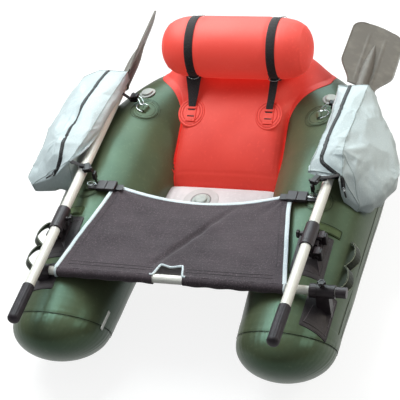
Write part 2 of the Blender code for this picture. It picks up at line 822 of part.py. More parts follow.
# Oarlocks and oars
for name, side in sides:
    base = tube_frame(side, oar_station, bracket_angle, patch_top + 2 * gap)
    base_frame = add_frame("bracket_frame_" + name, base)
    bracket = block("oarlock_bracket_" + name, (bracket_width, bracket_length, bracket_thickness),
                    "hard plastic", parent=base_frame, location=(0, 0, bracket_thickness / 2))
    for end in (-1, 1):
        ear = block("ear_%s_%d" % (name, end), (ear_width, ear_length, ear_height), None, 0.003,
                    parent=base_frame, location=(0, end * ear_spacing / 2, ear_height / 2))
        join(bracket, ear)
    cut(bracket, patch_cutter)

    # The pivot rocks about an axis along the tube and carries the sleeve's pin
    pivot_centre = base @ Vector((0, 0, pivot_axis_height))
    pivot_frame = add_frame("pivot_frame_" + name, Matrix.Translation(pivot_centre))
    barrel_length = ear_spacing - ear_length - 2 * gap
    pivot = cylinder("oarlock_pivot_" + name, pivot_radius, barrel_length, "hard plastic", 16,
                     parent=pivot_frame,
                     rotation=(base.to_3x3() @ Matrix.Rotation(-math.pi / 2, 3, "X")).to_euler())
    sleeve_centre = Vector((side * oar_place, oar_station, oar_height))
    pad_top = sleeve_centre - Vector((0, 0, sleeve_lug_drop)) - pivot_centre
    neck = block("pivot_neck_" + name,
                 (abs(pad_top.x) + neck_width, neck_width, pad_top.z - pivot_radius / 2), None,
                 parent=pivot_frame,
                 location=(pad_top.x / 2, 0, (pad_top.z + pivot_radius / 2) / 2 - gap))
    join(pivot, neck)

    # The sleeve swings on the pivot
    sleeve_frame = add_frame("sleeve_frame_" + name,
                             Matrix.Translation(sleeve_centre - pivot_centre)
                             @ Matrix.Rotation(-side * oar_splay, 4, "Z"), pivot_frame)
    sleeve = cylinder("oarlock_sleeve_" + name, sleeve_radius, sleeve_length, "hard plastic", 24,
                      parent=sleeve_frame, rotation=along_y)
    lug = cylinder("sleeve_lug_" + name, sleeve_lug_radius, sleeve_lug_drop - gap, None, 16,
                   parent=sleeve_frame, location=(0, 0, -(sleeve_lug_drop - gap) / 2))
    join(sleeve, lug)
    boss_reach = sleeve_radius + screw_boss_height
    boss = cylinder("sleeve_boss_" + name, screw_boss_radius, boss_reach, None, 16, parent=sleeve_frame,
                    location=(-side * boss_reach / 2, 0, 0), rotation=along_x)
    join(sleeve, boss)
    bore = cylinder("sleeve_bore_" + name, shaft_radius + shaft_clearance, sleeve_length + overrun, None, 24,
                    parent=sleeve_frame, rotation=along_y)
    cut(sleeve, bore)
    screw_frame = add_frame("sleeve_screw_frame_" + name,
                            Matrix.Translation((-side * boss_reach, 0, 0))
                            @ Matrix.Rotation(-side * math.pi / 2, 4, "Y"), sleeve_frame)
    thumbscrew("sleeve_screw_" + name, screw_frame)

    # The collar turns in front of the sleeve, and the shaft slides through it
    oar_bore = shaft_radius + shaft_clearance
    collar_frame = add_frame("collar_frame_" + name, Matrix.Identity(4), sleeve_frame)
    pipe("oar_collar_" + name, collar_radius, oar_bore, collar_width, "hard plastic", 24,
         parent=collar_frame,
         location=(0, -sleeve_length / 2 - gap - collar_width / 2, 0), rotation=along_y)

    oar_frame = add_frame("oar_frame_" + name, Matrix.Identity(4), collar_frame)
    grip_end = grip_top + grip_length
    shaft_front = grip_end - grip_wall_end - gap
    shaft_length = shaft_rear_end + shaft_front
    shaft = cylinder("oar_shaft_" + name, shaft_radius, shaft_length, "white metal", 24, parent=oar_frame,
                     location=(0, (shaft_rear_end - shaft_front) / 2, 0), rotation=along_y)
    round_end = grip_radius / 2
    grip_profile = [(0, grip_length), (grip_radius - round_end, grip_length),
                    (grip_radius - round_end / 4, grip_length - round_end / 3),
                    (grip_radius, grip_length - round_end), (grip_radius, 0), (oar_bore, 0),
                    (oar_bore, grip_length - grip_wall_end), (0, grip_length - grip_wall_end)]
    turned("oar_grip_" + name, grip_profile, "grip rubber", 24, parent=oar_frame,
           location=(0, -grip_top, 0), rotation=(math.pi / 2, 0, 0))

    # Blade with its socket, rolled about the shaft
    blade_frame = add_frame("blade_frame_" + name, Matrix.Rotation(blade_roll[name], 4, "Y"), oar_frame)

    def blade_place(u, v, layer):
        run = (bunched(v) + 1) / 2
        widening = min(run / 0.45, 1)
        widening = widening * widening * (3 - 2 * widening)
        half_width = blade_neck_half_width + (blade_half_width - blade_neck_half_width) * widening
        half_width *= math.sqrt(1 - 0.75 * max((run - 0.72) / 0.28, 0) ** 3)
        x = u * half_width
        dish = blade_dish * (u * u - 0.3) * run
        height = dish + blade_thickness * (layer - 0.5) * (1 - 0.4 * u ** 4)
        return Vector((x, blade_start + (blade_end - blade_start) * run, height))

    blade = slab("oar_blade_" + name, blade_place, 6, 10, "blade grey")
    blade.parent = blade_frame
    socket_profile = [(0, blade_socket_length * 1.5), (blade_socket_radius * 0.3, blade_socket_length * 1.4),
                      (blade_socket_radius * 0.85, blade_socket_length),
                      (blade_socket_radius, blade_socket_length * 0.7), (blade_socket_radius, 0), (0, 0)]
    socket = turned("blade_socket_" + name, socket_profile, None, 24, parent=blade_frame,
                    location=(0, blade_socket_start, 0), rotation=along_y)
    join(blade, socket)
    bore = cylinder("socket_bore_" + name, oar_bore, blade_socket_depth + overrun, None, 24,
                    parent=blade_frame, rotation=along_y,
                    location=(0, blade_socket_start + (blade_socket_depth - overrun) / 2, 0))
    cut(blade, bore)
    # A spring button in the shaft stands up through the socket and locks the blade
    hole_foot = shaft_radius - button_height - button_sink
    hole = cylinder("button_hole_" + name, button_radius + gap, blade_socket_radius, None, 12,
                    parent=blade_frame, location=(0, button_place, hole_foot + blade_socket_radius / 2))
    cut(blade, hole)
    cut(shaft, hole)
    button_foot = shaft_radius - button_sink + 2 * gap
    button_length = blade_socket_radius + button_height - button_foot
    cylinder("blade_button_" + name, button_radius, button_length, "bright metal", 12, parent=blade_frame,
             location=(0, button_place, button_foot + button_length / 2))


def strip(name, path, side, y, material):
    """A strap whose path is given as (x, z) points in the plane of one y."""
    points = [Vector((side * x, 0, z)) for x, z in path]

    def place(u, v, layer):
        k = round((v + 1) / 2 * (len(points) - 1))
        before, after = points[max(k - 1, 0)], points[min(k + 1, len(points) - 1)]
        normal = (after - before).normalized().cross(Vector((0, 1, 0)))
        spot = points[k] + normal * clip_strap_thickness * (layer - 0.5)
        spot.y = y + u * clip_strap_width / 2
        return spot
    return slab(name, place, 1, len(points) - 1, material)


# Side bags
def bag_place(side, lap):
    front, middle, rear = bag_outer_edges

    def place(u, v, layer):
        u, v = bunched(u), bunched(v)
        run, across = (v + 1) / 2, (u + 1) / 2
        outer = front + (rear - front) * run + (4 * middle - 2 * front - 2 * rear) * run * (1 - run)
        inner = bag_inner - lap
        x = inner + (outer - inner) * across
        y = bag_front + (bag_rear - bag_front) * run
        fullness = math.sqrt((1 - u ** 8) * (1 - v ** 8))
        full = bag_edge_share + (1 - bag_edge_share) * fullness
        crown = bag_inner_height + (bag_outer_height - bag_inner_height) * across
        if layer:
            return Vector((side * x, y, bag_lap_height + overrun + (crown - bag_lap_height - overrun) * full))
        return Vector((side * x, y, bag_bottom_height))
    return place


for name, side in sides:
    bag = slab("side_bag_" + name, bag_place(side, bag_laps[name]), 8, 10, "bag white")
    cut(bag, patch_cutter)
    lap_width = bag_inner - oar_place + bag_laps["right"]
    lap_space = block("lap_space_" + name,
                      (2 * lap_width, 2 * (bag_rear - bag_front), bag_lap_height), None,
                      location=(side * (bag_inner - lap_width), (bag_front + bag_rear) / 2, bag_lap_height / 2))
    cut(bag, lap_space)

    # The front clip's strap hangs down to its anchor and the rear clip reaches the ring
    front_y = bag_front - gap - clip_strap_width / 2
    front = strip("front_clip_" + name, front_clip_path, side, front_y, "hard plastic")
    body = block("front_clip_body_" + name, clip_size, None, clip_bevel, rotation=along_x,
                 location=(side * front_clip_path[-1][0], front_y, front_clip_height))
    join(front, body)
    bag_edge = bag_inner - bag_laps[name]
    path = [(bag_edge - reach, height) for reach, height in rear_clip_path] + list(rear_clip_end)
    rear = strip("rear_clip_" + name, path, side, rear_clip_place, "hard plastic")
    middle = (Vector(rear_clip_end[0]) + Vector(rear_clip_end[1])) / 2
    body = block("rear_clip_body_" + name, clip_size, None, clip_bevel,
                 location=(side * middle.x, rear_clip_place, middle.y))
    join(rear, body)
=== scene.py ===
import json
import math

import bpy
import numpy as np
from mathutils import Matrix, Vector

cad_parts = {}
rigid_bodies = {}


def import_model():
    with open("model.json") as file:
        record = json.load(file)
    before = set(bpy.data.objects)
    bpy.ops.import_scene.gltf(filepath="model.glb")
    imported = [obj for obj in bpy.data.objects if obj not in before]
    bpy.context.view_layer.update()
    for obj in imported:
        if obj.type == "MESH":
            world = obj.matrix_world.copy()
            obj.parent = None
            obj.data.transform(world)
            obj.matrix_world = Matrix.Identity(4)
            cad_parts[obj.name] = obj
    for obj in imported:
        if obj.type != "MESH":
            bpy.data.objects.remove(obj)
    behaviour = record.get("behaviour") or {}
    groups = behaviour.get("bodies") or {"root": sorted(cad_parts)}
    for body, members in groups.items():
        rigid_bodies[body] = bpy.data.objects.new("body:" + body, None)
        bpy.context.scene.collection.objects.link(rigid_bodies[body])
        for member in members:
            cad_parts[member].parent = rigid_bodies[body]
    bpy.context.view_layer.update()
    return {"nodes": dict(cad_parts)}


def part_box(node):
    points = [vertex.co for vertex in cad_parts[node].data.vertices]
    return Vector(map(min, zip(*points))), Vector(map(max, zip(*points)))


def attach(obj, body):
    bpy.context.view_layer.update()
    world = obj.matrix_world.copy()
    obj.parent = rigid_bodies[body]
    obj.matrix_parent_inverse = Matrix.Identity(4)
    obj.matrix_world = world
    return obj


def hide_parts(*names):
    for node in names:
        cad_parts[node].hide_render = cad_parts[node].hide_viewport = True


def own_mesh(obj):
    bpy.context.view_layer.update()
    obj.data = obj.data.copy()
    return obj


# The whole float tube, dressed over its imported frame. Sizes are in metres unless a name says mm.
for thing in list(bpy.data.objects):
    bpy.data.objects.remove(thing, do_unlink=True)

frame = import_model()
nodes = frame["nodes"]
sides = (("right", 1), ("left", -1))

# The tube as part.py builds it. Stations count from the bow seam, and rowShift moves them into the frame
hull = {
    "bowRadius": 0.150, "sternRadius": 0.180, "halfGap": 0.360, "straight": 0.680, "bend": 0.430,
    "bulge": 0.140, "lean": math.radians(28), "leanRun": 0.170, "cadSides": 40, "barPlace": 0.065,
}
barLow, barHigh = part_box("bar")
rowShift = (barLow.y + barHigh.y) / 2 - hull["barPlace"]
# the CAD's tube is a prism that stands on a flat side, so its axis is at this share of the radius
axisShare = math.cos(math.pi / hull["cadSides"])
quarter = (hull["halfGap"] + hull["bend"]) * math.pi / 4
halfLength = hull["straight"] + quarter
print("stage: frame loaded,", len(nodes), "nodes")


# Arrays and meshes
def joined(*axes):
    # points from one array or number per axis
    return np.stack(np.broadcast_arrays(*axes), -1)


def unit(v):
    return v / np.maximum(np.linalg.norm(v, axis=-1, keepdims=True), 1e-12)


def smooth(t):
    t = np.clip(t, 0, 1)
    return t * t * (3 - 2 * t)


def band(distance, width, edge):
    # 1 inside a band of this width, falling to 0 over its edge
    return smooth((width / 2 + edge - np.abs(distance)) / edge)


def waves(points, size, seed, count=28):
    # soft noise: plane waves of about this size, each in a direction and phase of its own
    rng = np.random.default_rng(seed)
    direction = unit(rng.normal(size=(count, 3)))
    pitch = 2 * math.pi / (size * rng.uniform(0.6, 1.7, count))
    phase = rng.uniform(0, 2 * math.pi, count)
    return np.sin(points @ (direction * pitch[:, None]).T + phase).sum(-1) / math.sqrt(count / 2)


def makeForm(points, quads, tris, uv):
    # a closed surface as arrays, turned right side out by the sign of its volume
    points = np.asarray(points, float).reshape(-1, 3)
    quads = np.asarray(quads, int).reshape(-1, 4)
    tris = np.zeros((0, 3), int) if tris is None else np.asarray(tris, int).reshape(-1, 3)
    corners = np.concatenate([quads[:, :3], quads[:, [0, 2, 3]], tris])
    a, b, c = (points[corners[:, k]] for k in range(3))
    if np.einsum("ij,ij->", a, np.cross(b, c)) < 0:
        quads, tris = quads[:, ::-1], tris[:, ::-1]
    return {"points": points, "quads": quads, "tris": tris, "uv": uv.reshape(-1, 2)}


def gridQuads(rows, cols, wrapCols=False, wrapRows=False):
    i = np.arange(rows if wrapRows else rows - 1)[:, None]
    j = np.arange(cols if wrapCols else cols - 1)[None, :]
    n, k = (i + 1) % rows, (j + 1) % cols
    return np.stack([i * cols + j, i * cols + k, n * cols + k, n * cols + j], -1).reshape(-1, 4)


def gridUv(grid):
    # lengths along the grid's own lines, in metres
    across = np.linalg.norm(np.diff(grid, axis=1, prepend=grid[:, :1]), axis=-1).cumsum(1)
    along = np.linalg.norm(np.diff(grid, axis=0, prepend=grid[:1]), axis=-1).cumsum(0)
    return np.stack([across, along], -1).reshape(-1, 2)


def tubeForm(grid, wrapRows=False):
    # rings of points, joined and closed at both ends by a pole in the middle of the end ring
    rows, cols = grid.shape[:2]
    points, quads = grid.reshape(-1, 3), gridQuads(rows, cols, True, wrapRows)
    uv, tris = gridUv(grid), None
    if not wrapRows:
        ring = np.arange(cols)
        first, last = rows * cols, rows * cols + 1
        points = np.concatenate([points, grid[:1].mean(1), grid[-1:].mean(1)])
        uv = np.concatenate([uv, uv[:1], uv[-1:]])
        low = np.stack([np.full(cols, first), (ring + 1) % cols, ring], -1)
        high = np.stack([np.full(cols, last), ring, (ring + 1) % cols], -1)
        high = high + np.array([0, 1, 1]) * (rows - 1) * cols
        tris = np.concatenate([low, high])
    return makeForm(points, quads, tris, uv)


def gridNormals(grid):
    return unit(np.cross(np.gradient(grid, axis=1), np.gradient(grid, axis=0)))


def pillowForm(low, top):
    # two layers of points on one grid, joined round their rim
    rows, cols = top.shape[:2]
    count = rows * cols
    index = np.arange(count).reshape(rows, cols)
    rim = np.concatenate([index[0, :-1], index[:-1, -1], index[-1, :0:-1], index[:0:-1, 0]])
    after = np.roll(rim, -1)
    wall = np.stack([rim, after, after + count, rim + count], -1)
    flat = gridQuads(rows, cols)
    quads = np.concatenate([flat[:, ::-1], flat + count, wall[:, ::-1]])
    points = np.concatenate([low.reshape(-1, 3), top.reshape(-1, 3)])
    return makeForm(points, quads, None, np.tile(gridUv(top), (2, 1)))


def sheetForm(grid, thickness, normals):
    # a sheet of this thickness over a grid
    return pillowForm(grid, grid + normals * thickness)


def evenTurn(count):
    # a full turn in even steps, without its end
    return np.arange(count) * 2 * math.pi / count


def eased(count):
    # -1 to 1 in steps that grow closer towards both ends
    return np.sin(np.linspace(-1, 1, count) * math.pi / 2)


def circle(radius, count):
    angle = evenTurn(count)
    return joined(radius * np.cos(angle), radius * np.sin(angle))


def stadium(width, height, count=16):
    # a flat strap's section: a rectangle with rounded ends
    angle = evenTurn(count)
    half = height / 2
    return joined(np.sign(np.cos(angle)) * (width / 2 - half) + half * np.cos(angle), half * np.sin(angle))


def carry(path, section, up=(0, 0, 1), closed=False):
    # a section carried along a path: its first axis lies across the path, its second along up
    path = np.asarray(path, float)
    along = np.roll(path, -1, 0) - np.roll(path, 1, 0) if closed else np.gradient(path, axis=0)
    along = unit(along)
    up = np.broadcast_to(np.asarray(up, float), path.shape)
    across = unit(np.cross(along, up))
    lift = np.cross(across, along)
    grid = path[:, None] + (section[None, :, :1] * across[:, None] + section[None, :, 1:] * lift[:, None])
    return tubeForm(grid, closed)


def resample(points, count, closed=False):
    # a line through the same points with even spacing, curved between them as a Catmull-Rom spline
    points = np.asarray(points, float)
    ring = np.concatenate([points[-1:], points, points[:2]]) if closed else np.concatenate(
        [2 * points[:1] - points[1:2], points, 2 * points[-1:] - points[-2:-1]])
    spans = len(ring) - 3
    t = np.linspace(0, spans, 40 * spans + 1)
    k = np.minimum(t.astype(int), spans - 1)
    f = (t - k)[:, None]
    a, b, c, d = ring[k], ring[k + 1], ring[k + 2], ring[k + 3]
    line = 0.5 * (2 * b + (c - a) * f + (2 * a - 5 * b + 4 * c - d) * f ** 2
                  + (3 * b - a - 3 * c + d) * f ** 3)
    run = np.concatenate([[0], np.linalg.norm(np.diff(line, axis=0), axis=1).cumsum()])
    want = np.linspace(0, run[-1], count, endpoint=not closed)
    return np.stack([np.interp(want, run, line[:, axis]) for axis in range(3)], -1)


def pick(grid, row, col):
    # points of a grid at fractional rows and columns
    row, col = np.broadcast_arrays(np.asarray(row, float), np.asarray(col, float))
    i = np.clip(row.astype(int), 0, grid.shape[0] - 2)
    j = np.clip(col.astype(int), 0, grid.shape[1] - 2)
    f, g = (row - i)[..., None], (col - j)[..., None]
    return ((1 - f) * (1 - g) * grid[i, j] + f * (1 - g) * grid[i + 1, j]
            + (1 - f) * g * grid[i, j + 1] + f * g * grid[i + 1, j + 1])


def revolved(profile, count):
    # a profile of (radius, height) points turned about Z
    profile = np.asarray(profile, float)
    angle = evenTurn(count)
    return joined(profile[:, :1] * np.cos(angle), profile[:, :1] * np.sin(angle), profile[:, 1:])


def placed(grid, matrix):
    m = np.array(matrix)
    return grid @ m[:3, :3].T + m[:3, 3]


def roundedBox(size, radius, matrix, count=5):
    # a box with its edges rounded to a radius, as rings stacked along its height
    sx, sy, sz = (s / 2 for s in size)
    turn = np.linspace(0, math.pi / 2, count)
    inset, rise = radius * (1 - np.cos(turn)), radius * np.sin(turn)
    levels = [(inset[::-1][k], -sz + radius - rise[::-1][k]) for k in range(count)]
    levels += [(inset[k], sz - radius + rise[k]) for k in range(count)]
    rings = []
    for shrink, height in levels:
        r = max(radius - shrink, radius * 0.05)
        x, y = sx - shrink - r, sy - shrink - r
        ring = []
        for q, (cx, cy) in enumerate(((1, 1), (-1, 1), (-1, -1), (1, -1))):
            angle = turn + q * math.pi / 2
            ring.append(joined(cx * x + r * np.cos(angle), cy * y + r * np.sin(angle), height))
        rings.append(np.concatenate(ring))
    return tubeForm(placed(np.stack(rings), matrix))


def block(place, size, radius, shift, material):
    # a rounded box, shifted in the frame that it stands in
    return roundedBox(size, radius, place @ Matrix.Translation(shift)), material


def wire(path, radius, material, up=(0, 0, 1), closed=False, count=8):
    # a wire, thread or piping along a path
    return carry(path, circle(radius, count), up, closed), material


def frameAt(origin, ahead, up):
    # a frame with Y ahead and Z up at a point
    columns = np.column_stack([np.cross(ahead, up), ahead, up, origin])
    return Matrix(np.vstack([columns, [0, 0, 0, 1]]).tolist())


def addPiece(name, body, parts, stands=(), sharp=40):
    # one object from its forms, each with its material, riding on a body and standing for CAD nodes
    points, faces, slots, uv, materials, start = [], [], [], [], [], 0
    for form, material in parts:
        if material not in materials:
            materials.append(material)
        points.append(form["points"])
        uv.append(form["uv"])
        faces += (form["quads"] + start).tolist() + (form["tris"] + start).tolist()
        slots += [materials.index(material)] * (len(form["quads"]) + len(form["tris"]))
        start += len(form["points"])
    mesh = bpy.data.meshes.new(name)
    mesh.from_pydata(np.concatenate(points).tolist(), [], faces)
    corners = np.empty(len(mesh.loops), int)
    mesh.loops.foreach_get("vertex_index", corners)
    mesh.uv_layers.new(name="UVMap").data.foreach_set("uv", np.concatenate(uv)[corners].ravel())
    for material in materials:
        mesh.materials.append(material)
    mesh.polygons.foreach_set("material_index", slots)
    mesh.shade_smooth()
    mesh.set_sharp_from_angle(angle=math.radians(sharp))
    piece = bpy.data.objects.new(name, mesh)
    bpy.context.scene.collection.objects.link(piece)
    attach(piece, body)
    if stands:
        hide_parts(*stands)
    return piece


# Materials
def srgb(code):
    channels = [int(code[k:k + 2], 16) / 255 for k in (1, 3, 5)]
    return (*[c / 12.92 if c <= 0.04045 else ((c + 0.055) / 1.055) ** 2.4 for c in channels], 1)


def addNode(tree, kind, values=None, links=None, **settings):
    node = tree.nodes.new("ShaderNode" + kind)
    for key, value in settings.items():
        setattr(node, key, value)
    for key, value in (values or {}).items():
        node.inputs[key].default_value = value
    for key, source in (links or {}).items():
        tree.links.new(source, node.inputs[key])
    return node


def blendColours(tree, factor, first, second):
    # colours may be sockets or sRGB hex values
    node = addNode(tree, "Mix", data_type="RGBA", blend_type="MIX", clamp_factor=True)
    for key, value in ((0, factor), (6, first), (7, second)):
        if isinstance(value, str):
            node.inputs[key].default_value = srgb(value)
        else:
            tree.links.new(value, node.inputs[key])
    return node.outputs[2]


def startMaterial(name, **values):
    # a material, and the place on the piece that its textures are laid out by
    material = bpy.data.materials.new(name)
    material.use_nodes = True
    tree = material.node_tree
    shader = tree.nodes["Principled BSDF"]
    for key, value in values.items():
        shader.inputs[key.replace("_", " ")].default_value = value
    return material, tree, shader, addNode(tree, "TexCoord").outputs["Object"]


def noise(tree, place, scale, detail):
    return addNode(tree, "TexNoise", {"Scale": scale, "Detail": detail}, {"Vector": place}).outputs[0]


def layered(tree, colour, *layers):
    # a colour with others over it, each where its source rises from the one value to the other
    for source, low, high, over in layers:
        share = addNode(tree, "MapRange", {"From Min": low, "From Max": high}, {"Value": source},
                        interpolation_type="SMOOTHSTEP")
        colour = blendColours(tree, share.outputs[0], colour, over)
    return colour


def finishMaterial(tree, shader, colour, height, distance, strength):
    # joins the colour and the relief to the shader
    tree.links.new(colour, shader.inputs["Base Color"])
    bump = addNode(tree, "Bump", {"Distance": distance, "Strength": strength}, {"Height": height})
    tree.links.new(bump.outputs[0], shader.inputs["Normal"])


def weldedPvc(name, base, dull, bright, roughness, level=0.4, sheen="#ffffff", glow=0.0):
    # PVC-coated polyester, calendered and welded: a smooth satin skin over a faint woven grain, with
    # slow dull patches where it has been handled. The glow is painted light: the skin gives off its own
    # colour, which lifts its shade. The sheen is the tint of its reflections
    material, tree, shader, place = startMaterial(name, Roughness=roughness, Specular_IOR_Level=level,
                                                  Specular_Tint=srgb(sheen))
    slow, fine = noise(tree, place, 6.0, 4.0), noise(tree, place, 90.0, 3.0)
    colour = layered(tree, base, (slow, 0.35, 0.70, dull), (fine, 0.52, 0.85, bright))
    # painted light: the skin's colour also glows, so its shade stays bright
    if glow:
        tree.links.new(colour, shader.inputs["Emission Color"])
        shader.inputs["Emission Strength"].default_value = glow
    rough = addNode(tree, "MapRange", {"To Min": roughness - 0.06, "To Max": roughness + 0.10},
                    {"Value": slow})
    tree.links.new(rough.outputs[0], shader.inputs["Roughness"])
    # the base cloth's threads are 1 mm apart and are drawn at 2.5 mm, which still shows in the picture
    finishMaterial(tree, shader, colour, noise(tree, place, 400.0, 2.0), 0.0004, 0.35)
    return material


def wovenCloth(name, base, thread, shade, radianMm, roughness, sheen, depth=0.0006):
    # woven synthetic cloth: warp and weft ridges from the piece's own UV in metres, with slubs of a
    # lighter thread and a slow worn shade over the whole
    material, tree, shader, place = startMaterial(name, Roughness=roughness, Sheen_Weight=sheen,
                                                  Sheen_Roughness=0.5)
    flat = addNode(tree, "UVMap").outputs[0]
    # a wave texture turns by 20 radians per unit of its scale, and radianMm is one radian's length
    ridges = {"Scale": 1000 / radianMm / 20, "Distortion": 1.2, "Detail": 2.0}
    across, along = (addNode(tree, "TexWave", ridges, {"Vector": flat}, bands_direction=way).outputs[1]
                     for way in ("X", "Y"))
    weave = addNode(tree, "Math", None, {0: across, 1: along}, operation="MULTIPLY").outputs[0]
    slow, speck = noise(tree, place, 5.0, 5.0), noise(tree, place, 260.0, 3.0)
    colour = layered(tree, base, (slow, 0.35, 0.72, shade), (speck, 0.50, 0.75, thread))
    height = addNode(tree, "Math", None, {0: weave, 1: speck}, operation="ADD").outputs[0]
    finishMaterial(tree, shader, colour, height, depth, 0.6)
    return material


def mouldedPlastic(name, base, worn, roughness):
    # injection-moulded plastic or rubber: satin, and paler where edges and faces have rubbed
    material, tree, shader, place = startMaterial(name, Roughness=roughness, Specular_IOR_Level=0.28)
    edge = addNode(tree, "NewGeometry").outputs["Pointiness"]
    slow = noise(tree, place, 30.0, 5.0)
    colour = layered(tree, base, (slow, 0.42, 0.75, worn), (edge, 0.53, 0.60, worn))
    finishMaterial(tree, shader, colour, noise(tree, place, 900.0, 2.0), 0.0002, 0.4)
    return material


def paintedMetal(name, base, stain, roughness):
    # aluminium tube with a white stoved enamel: bright and smooth, with faint drawn lines and grime
    material, tree, shader, place = startMaterial(name, Roughness=roughness, Coat_Weight=0.3,
                                                  Coat_Roughness=0.15)
    drawn = addNode(tree, "Mapping", {"Scale": (60, 1.5, 60)}, {"Vector": place}).outputs[0]
    streak = noise(tree, drawn, 6.0, 4.0)
    finishMaterial(tree, shader, layered(tree, base, (streak, 0.50, 0.85, stain)), streak, 0.0001, 0.3)
    return material


def brightMetal(name, base, dull, roughness):
    # stainless steel wire, drawn and polished
    material, tree, shader, place = startMaterial(name, Roughness=roughness, Metallic=1.0)
    colour = blendColours(tree, noise(tree, place, 120.0, 3.0), base, dull)
    tree.links.new(colour, shader.inputs["Base Color"])
    return material


tubeGreen = weldedPvc("pvcGreen", "#535a42", "#4a503b", "#5c634a", 0.36, 0.42, "#a2efdb")
tapeGreen = weldedPvc("pvcGreenTape", "#575e47", "#4f5640", "#5e664e", 0.40, 0.38, "#a6eeda")
flapGreen = weldedPvc("pvcGreenFlap", "#566242", "#4e593c", "#5f6b4b", 0.50, 0.3, "#c8f0c8")
seamDark = weldedPvc("seamAdhesive", "#252a20", "#20251c", "#2c3226", 0.6, 0.1)
seamSoft = weldedPvc("patchEdgeGreen", "#3f4636", "#393f31", "#454d3b", 0.5, 0.2)
# these four glow with their own colour: painted light that brightens their shade
flankStrip = weldedPvc("flankStrip", "#e6e6e0", "#d9d9d3", "#efefea", 0.5, 0.3, "#ffffff", 0.1)
cushionRed = weldedPvc("pvcRed", "#d83a2f", "#d0342b", "#dc4136", 0.54, 0.60, "#ffe4dc", 0.26)
rollRed = weldedPvc("pvcRedRoll", "#d13c31", "#c9372d", "#d64338", 0.60, 0.95, "#ffe8e2", 0.58)
seamRed = weldedPvc("stitchRed", "#bd2a22", "#b3271f", "#c73028", 0.60, 0.2, "#ffffff", 0.15)
seatWhite = weldedPvc("pvcWhite", "#d8ced0", "#cbc1c3", "#e1d9d9", 0.50)
patchPale = weldedPvc("pvcPalePatch", "#c9c1c1", "#bdb5b5", "#d3cccc", 0.5)
patchGrey = weldedPvc("pvcGreyPatch", "#8d8787", "#827c7c", "#989292", 0.5)
valveGrey = mouldedPlastic("valvePvc", "#a3a8a4", "#c0c4bf", 0.42)
apronCloth = wovenCloth("apronCanvas", "#453a40", "#64565d", "#362c32", 2.4, 0.92, 0.12)
threadDark = wovenCloth("stitchThread", "#3a3236", "#4b4247", "#2f282c", 1.2, 0.8, 0.1, 0.0002)
pipingWhite = wovenCloth("pipingTape", "#dfe9ee", "#f2f7fa", "#c9d7de", 2.0, 0.75, 0.2, 0.0003)
bagCloth = wovenCloth("bagNylon", "#c9d4d7", "#d5dee0", "#bcc8cb", 1.6, 0.60, 0.08, 0.0002)
bagPiping = wovenCloth("bagPiping", "#aab5b6", "#bcc6c6", "#98a3a4", 1.6, 0.7, 0.1, 0.0002)
webbing = wovenCloth("blackWebbing", "#241d20", "#3b3135", "#191416", 2.2, 0.85, 0.2, 0.0007)
loopWebbing = wovenCloth("oliveWebbing", "#2c2f24", "#464a38", "#202319", 2.2, 0.85, 0.2, 0.0007)
webbingEdge = wovenCloth("oliveWebbingEdge", "#b2baa0", "#c6cdb6", "#99a289", 2.2, 0.8, 0.2, 0.0004)
zipTape = wovenCloth("zipTape", "#1c1a1e", "#333036", "#131214", 1.2, 0.7, 0.1, 0.0003)
zipTeeth = wovenCloth("zipTeeth", "#141216", "#3a373d", "#0d0c0e", 1.4, 0.4, 0.0, 0.0008)
patchBrown = wovenCloth("patchRubber", "#2a2024", "#392d33", "#21191c", 1.5, 0.6, 0.06, 0.0002)
# a paler brown that paints highlights: on the boots' crease ridges and on the ears' tops
paintedHighlight = wovenCloth("paintedFoldHighlight", "#54474d", "#665960", "#463a3f", 1.5, 0.5, 0.05, 0.0002)
hardPlastic = mouldedPlastic("mouldedNylon", "#211a1d", "#383034", 0.40)
knobPlastic = mouldedPlastic("knobNylon", "#171214", "#2a2225", 0.36)
gripRubber = mouldedPlastic("gripRubber", "#251e23", "#382f36", 0.58)
bladePlastic = mouldedPlastic("bladeNylon", "#6f6861", "#7d766e", 0.5)
whiteMetal = paintedMetal("enamelWhite", "#f1eee6", "#dcd8ce", 0.32)
steel = brightMetal("steelWire", "#c8cccc", "#8f9496", 0.25)
print("stage: materials")


# The tube's axis and skin, as part.py has them, for whole arrays
def tubeRadius(station):
    share = np.minimum(np.asarray(station, float) / hull["straight"], 1)
    return hull["bowRadius"] + (hull["sternRadius"] - hull["bowRadius"]) * share


def tubeAxis(station):
    # plan point and outward direction of the right tube's axis
    station = np.asarray(station, float)
    turn = np.clip((station - hull["straight"]) / quarter, 0, 1) * math.pi / 2
    bent = station > hull["straight"]
    x = hull["halfGap"] * np.cos(turn)
    y = np.where(bent, hull["straight"] + hull["bend"] * np.sin(turn), station)
    outward = unit(joined(hull["bend"] * np.cos(turn), hull["halfGap"] * np.sin(turn), 0))
    return joined(x, y, 0), outward


def onTube(side, station, angle, lift):
    # a point on the skin: the angle is from the top towards the outer side, the lift is above the skin
    station, angle, lift, side = np.broadcast_arrays(station, angle, lift, side)
    point, outward = tubeAxis(station)
    radius = tubeRadius(station)
    reach = radius + lift
    spot = point + outward * (reach * np.sin(angle))[..., None]
    spot[..., 2] = radius * axisShare + reach * np.cos(angle)
    spot[..., 0] *= side
    spot[..., 1] += rowShift
    return spot


def skinNormal(side, station, angle):
    return unit(onTube(side, station, angle, 0.01) - onTube(side, station, angle, 0.0))


# one side's axis as points, on into the nose in front of its first station
axisStations = np.linspace(-hull["bulge"], halfLength, 420)
axisPoints = tubeAxis(np.maximum(axisStations, 0))[0] + np.array([0, rowShift, 0])
axisPoints[:, 1] += np.minimum(axisStations, 0)
axisRadii = tubeRadius(np.maximum(axisStations, 0))
axisPoints[:, 2] = axisRadii * axisShare


def nearestAxis(points):
    # index of the nearest station in plan, for points of either side
    plan = np.stack([np.abs(points[..., 0]), points[..., 1]], -1)[..., None, :] - axisPoints[:, :2]
    return (plan ** 2).sum(-1).argmin(-1)


